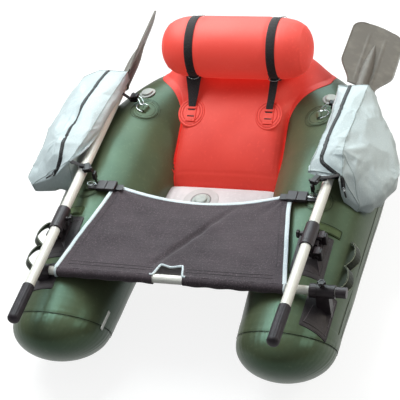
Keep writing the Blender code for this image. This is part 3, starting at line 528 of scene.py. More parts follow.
def pushOut(points, margin):
    # moves points that are inside the tube out to its skin
    k = nearestAxis(points)
    centre = axisPoints[k].copy()
    centre[..., 0] *= np.where(points[..., 0] < 0, -1, 1)
    away = points - centre
    far = np.linalg.norm(away, axis=-1, keepdims=True)
    want = (axisRadii[k] + margin)[..., None]
    return np.where(far < want, centre + away / np.maximum(far, 1e-9) * want, points)


def tubeTop(x, y):
    # height of the tube's upper skin over a plan point, or 0 beside it
    points = joined(x, y, 0)
    k = nearestAxis(points)
    off = np.hypot(np.abs(x) - axisPoints[k, 0], y - axisPoints[k, 1])
    radius = axisRadii[k]
    return np.where(off < radius, axisPoints[k, 2] + np.sqrt(np.maximum(radius ** 2 - off ** 2, 0)), 0)


# Air tube: both pontoons and the bend in one skin, with welded seam tapes and their dark edge lines
tube = {"around": 132, "rowStep": 0.014, "noseRows": 26, "wave": 0.0005, "waveSize": 0.16,
        "tapePlace": 0.034, "tapeWidth": 0.026, "tapeLift": 0.0005, "tapeEdge": 0.003, "grooveDepth": 0.0016,
        "grooveWidth": 0.004, "puckers": 46, "puckerDepth": 0.0006, "puckerRun": 0.018,
        "sideSeam": math.radians(88), "innerSeam": math.radians(-100), "seamSpread": 0.095,
        "lineWidth": 0.0024, "lineHeight": 0.0008, "lineLift": 0.0004, "lineEnd": math.radians(150)}
strip = {"start": -0.030, "length": 0.072, "angle": math.radians(-77), "width": 0.011, "thick": 0.0026,
         "lift": 0.0008}
bendSeams = [hull["straight"] + quarter * share for share in (0.50, 0.97)]
flankSeams = (tube["sideSeam"], tube["innerSeam"])


def leanShift(station, angle):
    # the bow seam's plane leans back, and the stations behind it catch up along the lean's run
    share = np.clip(1 - np.asarray(station, float) / hull["leanRun"], 0, 1)
    return share * math.tan(hull["lean"]) * hull["bowRadius"] * np.cos(angle)


def seamPoint(side, station, angle, lift):
    return onTube(side, station - leanShift(station, angle), angle, lift)


def seamLine(side, stations, angles, count=160):
    share = np.linspace(0, 1, count)
    station = stations[0] + (stations[1] - stations[0]) * share
    angle = angles[0] + (angles[1] - angles[0]) * share
    path = seamPoint(side, station, angle, tube["lineLift"])
    up = unit(seamPoint(side, station, angle, 0.01) - seamPoint(side, station, angle, 0))
    return carry(path, stadium(tube["lineWidth"], tube["lineHeight"], 8), up)


def tubeRelief(station, angle):
    # raised tapes, with a groove at the bow seam, in metres
    width, edge = tube["tapeWidth"], tube["tapeEdge"]
    lift = tube["tapeLift"] * band(station - tube["tapePlace"], width, edge)
    for seam in bendSeams:
        lift = lift + tube["tapeLift"] * band(station - seam, width, edge)
    for seam in flankSeams:
        away = (np.mod(angle - seam + math.pi, 2 * math.pi) - math.pi) * tubeRadius(station)
        lift = np.maximum(lift, tube["tapeLift"] * band(away, width, edge))
    return lift - tube["grooveDepth"] * band(station, tube["grooveWidth"], edge)


def spaced(values, gap):
    # leaves out each value within the gap after the one before it
    return values[np.concatenate([[True], np.diff(values) > gap])]


def makeTube():
    # the skin's grid has even rows and columns, and finer ones at the seams
    rows = [np.arange(0.002, halfLength, tube["rowStep"])]
    rows += [seam + np.linspace(-0.020, 0.020, 15) for seam in [0.0, tube["tapePlace"]] + bendSeams]
    rows = np.unique(np.round(np.concatenate(rows + [[0.0]]), 5))
    rows = spaced(rows[(rows >= 0) & (rows < halfLength - 0.003)], 0.0012)
    fine = np.concatenate([seam + np.linspace(-0.11, 0.11, 13) for seam in flankSeams])
    angles = np.mod(np.concatenate([evenTurn(tube["around"]), fine]), 2 * math.pi)
    angles = spaced(np.unique(np.round(angles, 5)), 0.006)
    station, angle = np.meshgrid(rows, angles, indexing="ij")
    wave = tube["wave"] * waves(seamPoint(1, station, angle, 0), tube["waveSize"], 3) * smooth(station / 0.1)
    # small puckers run back from the bow seam, where the flat cloth is gathered on to the round cap
    wave = wave + tube["puckerDepth"] * np.cos(angle * tube["puckers"]) * np.exp(-station / tube["puckerRun"])
    right = seamPoint(1, station, angle, tubeRelief(station, angle) + wave)
    swing = np.linspace(math.pi / 2, 0, tube["noseRows"], endpoint=False)[1:]
    centre = np.array([hull["halfGap"], rowShift, hull["bowRadius"]])
    nose = centre + (right[0] - centre) * np.cos(swing)[:, None, None]
    nose[..., 1] -= (hull["bulge"] * np.sin(swing))[:, None]
    half = np.concatenate([nose, right])
    mirror = np.array([-1, 1, 1])
    stern = onTube(1, halfLength, angles, tubeRelief(np.full_like(angles, halfLength), angles))[None]
    grid = np.concatenate([half, stern, (half * mirror)[::-1]])
    # the skin flattens by a few millimetres where the tube stands on the ground
    grid[..., 2] = np.maximum(grid[..., 2], 0.0)
    form = tubeForm(grid)
    tip = centre - np.array([0, hull["bulge"], 0])
    form["points"][-2:] = tip, tip * mirror
    parts = [(form, tubeGreen)]
    edge = tube["tapePlace"] + tube["tapeWidth"] / 2 + tube["tapeEdge"]
    for name, side in sides:
        parts.append((seamLine(side, (0.0, 0.0), (-tube["lineEnd"], tube["lineEnd"])), seamDark))
        for angle in (tube["sideSeam"] - tube["seamSpread"], tube["sideSeam"] + tube["seamSpread"]):
            parts.append((seamLine(side, (edge, halfLength - 0.01), (angle, angle), 300), seamDark))
    # a plain pale strip is glued to the left pontoon's inner flank
    share = np.linspace(0, 1, 24)
    path = onTube(-1, strip["start"] + strip["length"] * share, strip["angle"], strip["lift"])
    up = skinNormal(-1, path[:, 1] - rowShift, strip["angle"])
    parts.append((carry(path, stadium(strip["width"], strip["thick"], 12), up), flankStrip))
    piece = addPiece("airTube", "hull", parts, ["u_tube"], sharp=60)


makeTube()
print("stage: air tube")


# Seat: an inflated flat cushion between the tubes, with a valve in a round reinforcing patch
seat = {"front": 0.240, "length": 0.410, "halfWidth": 0.200, "middle": 0.155, "half": 0.048, "edge": 0.35,
        "pleatDepth": 0.0016, "pleats": 9, "press": 0.002}


def keepBetween(layer, station, press):
    # a layer's X, kept between the two pontoons or pressed a little into them
    radius = tubeRadius(station)
    reach = np.sqrt(np.maximum((radius - press) ** 2 - (layer[..., 2] - radius * axisShare) ** 2, 0))
    limit = hull["halfGap"] - reach
    return np.clip(layer[..., 0], -limit, limit)


def makeSeat():
    u, v = np.meshgrid(eased(91), eased(101))
    full = np.sqrt((1 - u ** 8) * (1 - v ** 8))
    half = seat["half"] * (seat["edge"] + (1 - seat["edge"]) * full)
    x = u * seat["halfWidth"]
    y = seat["front"] + seat["length"] * (v + 1) / 2 + rowShift
    furrow = seat["pleatDepth"] * np.cos(u * seat["pleats"] * math.pi) ** 8 * smooth((1 - np.abs(v)) * 4)
    top = joined(x, y, seat["middle"] + half - furrow)
    low = joined(x, y, seat["middle"] - half)
    for layer in (top, low):
        layer[1:-1, 1:-1] = pushOut(layer, -seat["press"])[1:-1, 1:-1]
        layer[..., 0] = keepBetween(layer, y - rowShift, seat["press"])
    parts = [(pillowForm(low, top), seatWhite)]
    # two round patches are welded under the valve
    valveLow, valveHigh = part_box("seat_valve_flange")
    angle = evenTurn(64)
    for reach, height, material in ((0.060, 0.0018, patchPale), (0.036, 0.0030, patchGrey)):
        ring = joined((valveLow.x + valveHigh.x) / 2 + reach * np.cos(angle),
                      (valveLow.y + valveHigh.y) / 2 + reach * np.sin(angle), valveLow.z + 0.0001)
        inner = ring.copy()
        inner[:, :2] = ring[:, :2] + (ring[:, :2].mean(0) - ring[:, :2]) * 0.03
        rings = [ring - np.array([0, 0, 0.004]), ring, inner + np.array([0, 0, height * 0.4])]
        parts.append((tubeForm(np.stack(rings)), material))
    piece = addPiece("seatCushion", "hull", parts, ["seat"], sharp=70)


makeSeat()
print("stage: seat")


# Backrest: rises from behind the seat and laps over the bend of the tube
back = {"front": 0.656, "crest": 1.060, "frontHeight": 0.212, "crestHeight": 0.408, "fall": 0.075,
        "base": 0.145, "foot": 0.190, "top": 0.305, "lapAngle": math.radians(46), "edge": 0.45,
        "skin": 0.0006, "seamIn": 0.020, "seamDepth": 0.0010, "dimple": 0.0006, "thin": 0.62, "press": 0.003,
        "padRadius": 0.047, "padPlace": 0.842}
lapReach = hull["sternRadius"] * math.sin(back["lapAngle"])


def backRear(x):
    across = x / (hull["halfGap"] + lapReach)
    return hull["straight"] + (hull["bend"] + lapReach) * np.sqrt(np.maximum(1 - across ** 2, 0))


def backTop(y):
    share = np.clip((y - back["front"]) / (back["crest"] - back["front"]), 0, 1)
    rise = back["crestHeight"] - back["frontHeight"]
    rise = back["frontHeight"] + rise * np.sin(share * math.pi / 2) ** 0.85
    behind = (y - back["crest"]) / (backRear(0) - back["crest"])
    return np.where(y < back["crest"], rise, back["crestHeight"] - back["fall"] * behind ** 2)


roll = {"radius": 0.106, "half": 0.262, "place": 1.010, "sink": 0.008, "pinch": 0.0025, "shoulder": 0.012,
        "strapAt": 0.142, "strapWidth": 0.030, "strapThick": 0.0025, "blunt": 6, "round": 0.42,
        "seamIn": 0.026, "seamLift": 0.0012, "seamWidth": 0.003, "ripple": 0.0004, "rippleSize": 0.12,
        "puckers": 22, "puckerLift": 0.0009, "puckerFrom": 0.215, "flat": 0.099}
roll["height"] = float(backTop(roll["place"])) + roll["radius"] - roll["sink"]


def makeBack():
    u, v = np.meshgrid(eased(111), eased(131))
    run = (v + 1) / 2
    half = back["foot"] + (back["top"] - back["foot"]) * smooth((run - 0.35) / 0.5)
    x = u * half
    y = back["front"] + run * (backRear(x) - back["front"])
    full = back["edge"] + (1 - back["edge"]) * np.sqrt((1 - np.abs(u) ** 9) * (1 - np.abs(v) ** 11))
    z = back["base"] + (backTop(y) - back["base"]) * full
    # a welded seam runs round the face, a little inside the edge, and slow dimples lie between
    border = np.minimum((1 - np.abs(u)) * half, (1 - np.abs(v)) * 0.25)
    z -= back["seamDepth"] * band(border - back["seamIn"], 0.002, 0.003)
    top = joined(x, y + rowShift, z)
    top[..., 2] += back["dimple"] * waves(top, 0.15, 11) * smooth(border / 0.03)
    skin = tubeTop(x, y + rowShift)
    under = np.maximum(skin + back["skin"], back["base"])
    # the lap thins over the tube towards its sides
    thin = 1 - back["thin"] * smooth((np.abs(u) - 0.62) / 0.30) * smooth((y - 0.86) / 0.10)
    top[..., 2] = np.where(skin > 0.25, under + (top[..., 2] - under) * thin, top[..., 2])
    top[..., 2] = np.maximum(top[..., 2], under + 0.004 * np.sqrt(np.maximum(full - back["edge"], 0) + 0.02))
    # the roll presses a trough into the face
    behind = top[..., 1] - rowShift - roll["place"]
    trough = roll["radius"] + 0.001
    inside = (np.abs(x) < roll["half"] - 0.015) & (np.hypot(behind, top[..., 2] - roll["height"]) < trough)
    drop = roll["height"] - np.sqrt(np.maximum(trough ** 2 - behind ** 2, 0))
    top[..., 2] = np.where(inside, np.maximum(np.minimum(top[..., 2], drop), under + 0.001), top[..., 2])
    low = joined(x, y + rowShift, np.minimum(under, top[..., 2] - back["skin"]))
    for layer in (top, low):
        station = layer[..., 1] - rowShift
        radius = tubeRadius(station)
        between = (layer[..., 2] < radius * axisShare + radius * 0.93) & (station < hull["straight"] + 0.05)
        layer[..., 0] = np.where(between, keepBetween(layer, station, back["press"]), layer[..., 0])
    piece = addPiece("backCushion", "hull", [(pillowForm(low, top), cushionRed)], ["backrest"], sharp=70)


makeBack()
print("stage: backrest")


# Roll: a round bolster, pinched under its two straps
def rollSize(x):
    # the radius by place: round ends, and a groove under each strap
    def loosely(share):
        return roll["radius"] * (1 - share ** roll["blunt"]) ** roll["round"]

    loose = loosely(np.minimum(np.abs(x) / roll["half"], 1))
    groove = loosely(roll["strapAt"] / roll["half"]) - roll["pinch"]
    beside = np.abs(np.abs(x) - roll["strapAt"]) - roll["strapWidth"] / 2 - 0.0018
    bite = smooth(1 - beside / roll["shoulder"])
    return loose + (groove - loose) * bite


def makeRoll():
    x = roll["half"] * eased(151)
    angle = evenTurn(128)
    # seams near both ends stand a little proud, and the end caps pucker round their middle
    away = np.abs(x) - roll["half"] + roll["seamIn"]
    size = rollSize(x) + roll["seamLift"] * band(away, roll["seamWidth"], 0.002)
    grid = joined(x[:, None], np.cos(angle) * size[:, None], np.sin(angle) * size[:, None])
    ripple = roll["ripple"] * waves(grid, roll["rippleSize"], 21)
    atEnd = smooth((np.abs(x) - roll["puckerFrom"]) / 0.03)[:, None]
    ripple = ripple + roll["puckerLift"] * np.cos(roll["puckers"] * angle) * atEnd
    away = unit(grid * np.array([0.0, 1, 1]))
    grid = grid + away * (ripple * smooth(size / 0.05)[:, None] * (size > roll["flat"])[:, None])[..., None]
    grid += np.array([0, roll["place"] + rowShift, roll["height"]])
    piece = addPiece("backRoll", "hull", [(tubeForm(grid), rollRed)], ["back_roll"], sharp=60)


makeRoll()


# Straps round the roll, each with a ring and a tail that runs down through a tab on a stitched pad
strap = {"low": 0.80, "leave": 0.62, "sag": 0.005, "clear": 0.0035, "tailThick": 0.0028, "foldThick": 0.0024,
         "ring": (0.0185, 0.009, 0.002), "ringLift": 0.0012, "ringWire": 0.0017, "eyePlace": 0.022,
         "eye": (0.017, 0.004, 0.0085), "eyeWire": 0.0011,
         "right": {"top": 0.95, "pad": 0.130}, "left": {"top": 1.80, "pad": 0.142}}
pad = {"lift": 0.0014, "stitches": (0.0400, 0.0310), "stitchWidth": 0.0016, "stitchDepth": 0.0008,
       "thread": 0.0007, "tab": (0.034, 0.058, 0.0030)}


def backFrame(x, place):
    # a frame on the backrest's face: X to the right, Y up the slope, Z out of the face
    rise = float(backTop(np.array(place + 0.01)) - backTop(np.array(place - 0.01))) / 0.02
    slope = math.atan(rise)
    height = float(backTop(np.array(place)))
    return Matrix.Translation((x, place + rowShift, height)) @ Matrix.Rotation(slope, 4, "X")


def makePad(x):
    # a round pad welded on the face, with two stitched rings, a tab and the tab's two slots
    ring = np.concatenate([[0.002], np.linspace(0.006, back["padRadius"], 44)])[:, None]
    angle = evenTurn(72)
    lift = pad["lift"] * smooth((back["padRadius"] - ring) / 0.002)
    for stitch in pad["stitches"]:
        lift = lift - pad["stitchDepth"] * band(ring - stitch, pad["stitchWidth"], 0.0016)
    y = back["padPlace"] + ring * np.sin(angle)
    top = joined(x + ring * np.cos(angle), y + rowShift, backTop(y) + lift)
    rim = top[-1:] - np.array([0, 0, 0.004])
    parts = [(tubeForm(np.concatenate([top, rim])), cushionRed)]
    for stitch in pad["stitches"]:
        y = back["padPlace"] + stitch * np.sin(angle)
        line = joined(x + stitch * np.cos(angle), y + rowShift, backTop(y) + pad["lift"] - 0.0006)
        parts.append(wire(line, pad["thread"], seamRed, closed=True, count=6))
    width, length, thick = pad["tab"]
    base = backFrame(x, back["padPlace"]) @ Matrix.Translation((0, 0, pad["lift"] + thick / 2))
    parts.append(block(base, pad["tab"], 0.0014, (0, -0.006, 0), cushionRed))
    for place in (0.008, -0.016):
        parts.append(block(base, (width * 0.74, 0.0042, 0.0014), 0.0006, (0, place, thick / 2), webbing))
    bridge = (0, 0.0145, thick / 2 + 0.0014)
    parts.append(block(base, (width * 0.92, 0.0075, 0.0030), 0.0013, bridge, cushionRed))
    return parts


def makeRollStrap(name, side):
    own, width, thick = strap[name], roll["strapWidth"], roll["strapThick"]
    groove = float(rollSize(np.array(roll["strapAt"]))) + 0.0004
    angle = evenTurn(96)
    middle = np.array([side * roll["strapAt"], roll["place"] + rowShift, roll["height"]])
    out = joined(0, np.cos(angle), np.sin(angle))
    loop = carry(middle + out * (groove + thick / 2), stadium(width, thick), out, True)
    # the tail leaves the roll at its ring and hangs a little slack down to the pad's tab
    padEnd = backFrame(side * own["pad"], back["padPlace"]) @ Vector((0, 0.018, pad["lift"] + 0.004))
    leave = np.array([0, -math.cos(strap["leave"]), -math.sin(strap["leave"])])
    leave = middle + leave * (groove + strap["clear"])
    reach = np.array(padEnd) - leave
    share = np.linspace(0, 1, 30)[:, None]
    down = unit(reach)
    upward = unit(np.cross(np.array([1.0, 0, 0]), down))
    upward = upward if upward[2] > 0 else -upward
    tail = leave + reach * share - upward * strap["sag"] * np.sin(share * math.pi)
    spread = np.interp(share[:, 0], [0, 1], [own["top"], strap["low"]])[:, None, None]
    section = stadium(width, strap["tailThick"])
    across = unit(np.cross(down, upward))
    grid = tail[:, None] + section[None, :, :1] * across * spread + section[None, :, 1:] * upward
    turn = evenTurn(48)[:, None]
    ringWide, ringLong, ringRise = strap["ring"]
    ring = leave + upward * strap["ringLift"] + np.cos(turn) * np.array([ringWide, 0, 0])
    ring = ring + np.sin(turn) * (down * ringLong + upward * ringRise)
    # the strap's end is folded back over itself
    end = out[52:64]
    fold = carry(middle + end * (groove + thick + 0.0014), stadium(width, strap["foldThick"]), end)
    parts = [(loop, webbing), (tubeForm(grid), webbing), (fold, webbing),
             wire(ring, strap["ringWire"], steel, upward, True, 10)]
    # small wire eyes stand on the roll's top, and hold the strap there
    crest = middle + np.array([strap["eyePlace"], strap["eyePlace"], groove + strap["clear"]])
    turn = np.linspace(0, math.pi, 24)[:, None]
    eyeWide, eyeSkew, eyeHigh = strap["eye"]
    eye = crest + np.cos(turn) * np.array([eyeWide, eyeSkew, 0]) + np.sin(turn) * np.array([0, 0, eyeHigh])
    parts.append(wire(eye, strap["eyeWire"], steel, (0, 1, 0)))
    addPiece("rollStrap_" + name, "hull", parts, ["roll_strap_" + name])
    addPiece("strapPad_" + name, "hull", makePad(side * own["pad"]), sharp=50)


for name, side in sides:
    makeRollStrap(name, side)
print("stage: roll and straps")


# Apron: cloth from a sleeve round the bar back to its two buckles, edged with piping
apron = {"barZ": (barLow.z + barHigh.z) / 2, "barRadius": 0.014, "clear": 0.0007, "thick": 0.0022,
         "frontHalf": 0.362, "rearHalf": 0.287, "rear": 0.452, "rearHeight": 0.3445, "sag": 0.012,
         "rearSag": 0.036, "crease": 0.010, "creaseWidth": 0.012, "notchHalf": 0.045, "notchDepth": 0.044,
         "bindWidth": 0.0135, "bindThick": 0.0062, "rearArc": 0.026, "cornerDraw": 0.010, "swell": 0.0012,
         "fan": 0.0030, "fanSpokes": 11, "wrap": (math.radians(90), math.radians(-218)), "mouth": 0.0036,
         "ring": 0.0040, "thread": 0.0007, "threadLift": 0.0004}
barY = hull["barPlace"] + rowShift


def apronHeight(u, run, x, y):
    front = apron["barZ"] + apron["barRadius"] + apron["clear"] + apron["thick"]
    height = front + (apron["rearHeight"] - front) * np.minimum(run * 3, 1)
    height = height - (1 - u * u) * (apron["sag"] * np.sin(run * math.pi) + apron["rearSag"] * run ** 3)
    fold = (x - apron["frontHalf"] * 0.30) * 0.87 - (y - apron["rear"] * 0.90) * 0.49
    height = height - apron["crease"] * np.exp(-(fold / apron["creaseWidth"]) ** 2) * np.sin(run * math.pi)
    return height


def aroundBar(x, turn, reach):
    # points at a reach from the bar's axis, by the turn from its front side up over its top
    return joined(x, barY - np.cos(turn) * reach, apron["barZ"] + np.sin(turn) * reach)


def apronSurface():
    column = np.concatenate([np.linspace(-1, 1, 181), np.linspace(-0.16, 0.16, 97)])
    u = np.unique(np.round(column, 4))[None, :]
    # the front edge starts over the bar, and runs round the cut-out in the middle
    front, depth = hull["barPlace"], apron["rear"] - hull["barPlace"]
    xFront = u * apron["frontHalf"]
    corner = smooth((apron["notchHalf"] + 0.004 - np.abs(xFront)) / 0.014)
    startY = front + (apron["notchDepth"] - 0.004 * np.cos(xFront / 0.045 * 4)) * corner
    share = (startY - front) / depth
    run = share + (1 - share) * np.linspace(0, 1, 121)[:, None]
    x = u * (apron["frontHalf"] + (apron["rearHalf"] - apron["frontHalf"]) * run)
    y = front + depth * run
    z = apronHeight(u, run, x, y)
    # the rear edge is cut in an arc, and its corners are drawn out towards the buckles
    y = y - apron["rearArc"] * (1 - u * u) * run ** 4
    x = x + apron["cornerDraw"] * np.sign(u) * np.abs(u) ** 12 * run ** 10
    grid = joined(x, y + rowShift, z)
    grid[..., 2] += apron["swell"] * waves(grid, 0.10, 31) * np.sin(np.clip(run, 0, 1) * math.pi)
    # soft drag lines fan out of both rear corners
    for end in (-1, 1):
        sideways = (end * apron["rearHalf"] - grid[..., 0]) * end
        forward = apron["rear"] + rowShift - grid[..., 1]
        reach = np.hypot(sideways, forward)
        fan = np.cos(np.arctan2(forward, sideways) * apron["fanSpokes"]) * np.exp(-reach / 0.12)
        grid[..., 2] += apron["fan"] * fan * smooth(reach / 0.05)
    return grid, np.abs(xFront[0]) < apron["notchHalf"] + 0.012


def makeApron():
    grid, near = apronSurface()
    down = np.broadcast_to(np.array([0.0, 0, 1]), grid.shape)
    parts = [(sheetForm(grid, -apron["thick"], down), apronCloth)]
    # sleeves round the bar, one each side of the cut-out
    turn = np.linspace(*apron["wrap"], 40)
    inner = apron["barRadius"] + apron["clear"]
    for end in (-1, 1):
        across = np.linspace(apron["notchHalf"] + 0.003, apron["frontHalf"], 60)[:, None] * end
        wrap = aroundBar(across, turn, inner + apron["swell"] * np.sin(across * 90))
        away = unit(wrap - joined(across, barY, apron["barZ"] + 0 * turn))
        parts.append((sheetForm(wrap, apron["thick"], away), apronCloth))
    # binding tape: the two sides and the rear edge in one line, a line round the cut-out, and a ring
    # round the sleeve's end at both sides
    rise = np.array([0, 0, -apron["thick"] / 2])
    edge = resample(np.concatenate([grid[::6, 0], grid[-1, 3:-3:5], grid[::-6, -1]]) + rise, 300)
    parts.append((carry(edge, stadium(apron["bindWidth"], apron["bindThick"])), pipingWhite))
    mouth = resample((grid[0, near] + rise)[::3], 90)
    parts.append(wire(mouth, apron["mouth"], pipingWhite, count=10))
    for end in (-1, 1):
        ring = aroundBar(end * apron["frontHalf"], turn, inner + 0.001)
        parts.append(wire(ring, apron["ring"], pipingWhite, (1, 0, 0), count=10))
    # stitching: two rows along the hem and one inside the side bindings
    rows = [grid[row, span][::2] for row in (6, 10) for span in (slice(8, 82), slice(-82, -8))]
    for row in rows + [grid[8:-8:2, col] for col in (7, -8)]:
        parts.append(wire(row + np.array([0, 0, apron["threadLift"]]), apron["thread"], threadDark, count=6))
    piece = addPiece("apronSheet", "apron", parts, ["apron"], sharp=50)


makeApron()
print("stage: apron")


# Side bags: zipped cloth bags, each laid over a tube outside its oar with a lap over the shaft.
# By station: the lap's lower and upper corner, the ridge, the outer edge and the bottom corner, as (x, z)
bagSections = {
    "right": {
        0.474: [(0.352, 0.404), (0.356, 0.411), (0.454, 0.396), (0.500, 0.298), (0.490, 0.280)],
        0.496: [(0.347, 0.403), (0.352, 0.422), (0.453, 0.422), (0.540, 0.300), (0.526, 0.262)],
        0.535: [(0.353, 0.403), (0.360, 0.434), (0.450, 0.443), (0.566, 0.312), (0.552, 0.256)],
        0.620: [(0.366, 0.403), (0.372, 0.442), (0.450, 0.455), (0.602, 0.318), (0.584, 0.254)],
        0.740: [(0.368, 0.403), (0.376, 0.441), (0.457, 0.452), (0.572, 0.336), (0.556, 0.276)],
        0.830: [(0.366, 0.403), (0.371, 0.437), (0.463, 0.444), (0.518, 0.368), (0.504, 0.320)],
        0.898: [(0.366, 0.403), (0.367, 0.430), (0.465, 0.436), (0.486, 0.386), (0.476, 0.354)],
    },
    "left": {
        0.474: [(0.446, 0.404), (0.452, 0.407), (0.506, 0.376), (0.600, 0.314), (0.592, 0.292)],
        0.500: [(0.420, 0.403), (0.430, 0.421), (0.510, 0.410), (0.626, 0.320), (0.606, 0.274)],
        0.550: [(0.408, 0.403), (0.420, 0.434), (0.514, 0.438), (0.618, 0.344), (0.600, 0.270)],
        0.650: [(0.404, 0.403), (0.410, 0.443), (0.512, 0.452), (0.612, 0.366), (0.596, 0.276)],
        0.760: [(0.400, 0.403), (0.402, 0.446), (0.506, 0.454), (0.600, 0.384), (0.580, 0.298)],
        0.850: [(0.392, 0.403), (0.394, 0.446), (0.500, 0.450), (0.580, 0.400), (0.556, 0.328)],
        0.926: [(0.390, 0.403), (0.391, 0.440), (0.492, 0.442), (0.554, 0.410), (0.530, 0.358)],
    },
}
bag = {"rows": 104, "counts": [14, 26, 36, 20, 22, 18, 14], "inner": 0.4555, "innerLow": 0.300,
       "lapBase": 0.4015, "lapEdge": 0.449, "front": 0.4690, "frontSwell": 0.012, "clear": 0.003,
       "round": 1.1, "blend": 0.8, "fine": 0.0012, "fineSize": 0.055, "coarse": 0.0042,
       "coarseSize": 0.17, "fan": 0.0042, "fanReach": 0.11,
       "frames": 20, "limit": 0.012, "zipWidth": 0.013, "teethWidth": 0.0052, "piping": 0.0026,
       "frontCap": ((0.10, 0.010), (0.30, 0.009), (0.52, 0.007), (0.72, 0.005), (0.88, 0.002)),
       "rearCap": ((0.88, 0.002), (0.66, 0.005), (0.40, 0.007), (0.12, 0.008)),
       "right": {"zip": [1.55, 0.95, 0.34, 0.27, 0.28, 0.33, 0.37, 0.40], "seams": (1, 2),
                 "lean": 0.040, "seed": 41},
       "left": {"zip": [1.25, 0.82, 0.71, 0.70, 0.70, 0.69, 0.68, 0.66], "seams": (1, 3),
                "lean": 0.026, "seed": 53}}
# light nylon that grows by 7% while the air inside presses on it
nylon = {"quality": 3, "mass": 0.12, "air_damping": 2.0, "tension_stiffness": 12.0,
         "compression_stiffness": 12.0, "shear_stiffness": 4.0, "bending_stiffness": 0.15,
         "use_pressure": True, "uniform_pressure_force": 3.0, "shrink_min": -0.07}


def crease(points, size, seed):
    # sharp valleys between soft swells, as in crumpled nylon
    return np.abs(waves(points, size, seed, 16)) - 0.8


def crumpled(form):
    # the bag's cloth is cut a little too large and lightly blown up, so a cloth simulation crumples it
    points = form["points"]
    mesh = bpy.data.meshes.new("bagTrial")
    mesh.from_pydata(points.tolist(), [], form["quads"].tolist() + form["tris"].tolist())
    trial = bpy.data.objects.new("bagTrial", mesh)
    scene = bpy.context.scene
    scene.collection.objects.link(trial)
    cloth = trial.modifiers.new("cloth", "CLOTH")
    for rule, value in nylon.items():
        setattr(cloth.settings, rule, value)
    cloth.settings.effector_weights.gravity = 0
    cloth.collision_settings.use_collision = False
    cloth.point_cache.frame_start = 1
    cloth.point_cache.frame_end = bag["frames"]
    for step in range(1, bag["frames"] + 1):
        scene.frame_set(step)
    swollen = trial.evaluated_get(bpy.context.evaluated_depsgraph_get()).to_mesh()
    moved = np.empty(len(points) * 3)
    swollen.vertices.foreach_get("co", moved)
    moved = moved.reshape(-1, 3) - points
    far = np.linalg.norm(moved, axis=1, keepdims=True)
    scene.frame_set(1)
    bpy.data.objects.remove(trial, do_unlink=True)
    bpy.data.meshes.remove(mesh)
    return points + moved * np.minimum(1, bag["limit"] / np.maximum(far, 1e-9))


def bagSurface(name):
    # the sections' corners in rows along the bag, then rounded, leaned and creased
    own, counts = bag[name], bag["counts"]
    stations = np.array(list(bagSections[name]))
    keyed = np.array(list(bagSections[name].values()))
    t = np.linspace(0, 1, bag["rows"])
    y = np.interp(t, [0, 1], stations[[0, -1]])
    corners = np.stack([[np.interp(y, stations, keyed[:, k, axis]) for axis in (0, 1)] for k in range(5)])
    corners = corners.transpose(2, 0, 1)
    inner = np.broadcast_to([[bag["inner"], bag["innerLow"]], [bag["inner"], bag["lapBase"] + 0.0015]],
                            (bag["rows"], 2, 2))
    ring = np.concatenate([corners, inner, corners[:, :1]], 1)
    section = np.concatenate([ring[:, k, None] + (ring[:, k + 1] - ring[:, k])[:, None]
                              * (np.arange(c) / c)[None, :, None] for k, c in enumerate(counts)], 1)
    for axis, spread in ((1, bag["round"]), (0, bag["blend"])):
        # corners are rounded by averaging along the section, and sections blend along the bag
        reach = np.arange(-6, 7)
        weights = np.exp(-0.5 * (reach / spread) ** 2)
        padded = section if axis == 1 else np.pad(section, ((6, 6), (0, 0), (0, 0)), "edge")
        section = sum(w * np.roll(padded, k, axis) for w, k in zip(weights / weights.sum(), reach))
        section = section if axis == 1 else section[6:-6]
    grid = joined(section[..., 0], y[:, None] + rowShift, section[..., 1])
    frontness = smooth(1 - t / 0.24)[:, None]
    grid[..., 1] += own["lean"] * frontness * np.clip((grid[..., 2] - 0.27) / 0.17, 0, 1)
    middle = grid.mean(1, keepdims=True)
    away = unit((grid - middle) * np.array([1, 0, 1]))
    near = smooth(1 - (y - stations[0]) / 0.26)[:, None]
    lift = (bag["fine"] * (0.2 + near) * crease(grid, bag["fineSize"], own["seed"])
            + bag["coarse"] * (0.45 + 0.55 * near) * crease(grid, bag["coarseSize"], own["seed"] + 1))
    # folds fan out from the front corner of the ridge, and others hang from its middle
    for share, spokes in ((0.22, 9), (0.62, 6)):
        row = int(bag["rows"] * share)
        ray = grid - grid[row, sum(counts[:2])]
        reach = np.linalg.norm(ray, axis=-1)
        turn = np.arctan2(ray[..., 2], ray[..., 1] + 0.4 * ray[..., 0])
        lift = lift + (bag["fan"] * np.abs(np.cos(turn * spokes / 2 + share))
                       * np.exp(-reach / bag["fanReach"]) * smooth(reach / 0.03))
    lapZone = (grid[..., 0] < bag["inner"] + 0.001) & (grid[..., 2] < 0.41)
    grid = grid - away * np.where(lapZone, 0, lift)[..., None]
    front = [middle[0] + (grid[0] - middle[0]) * share - np.array([0, bulge, 0])
             for share, bulge in bag["frontCap"]]
    rear = [middle[-1] + (grid[-1] - middle[-1]) * share + np.array([0, bulge, 0])
            for share, bulge in bag["rearCap"]]
    return np.concatenate([np.stack(front), grid, np.stack(rear)])


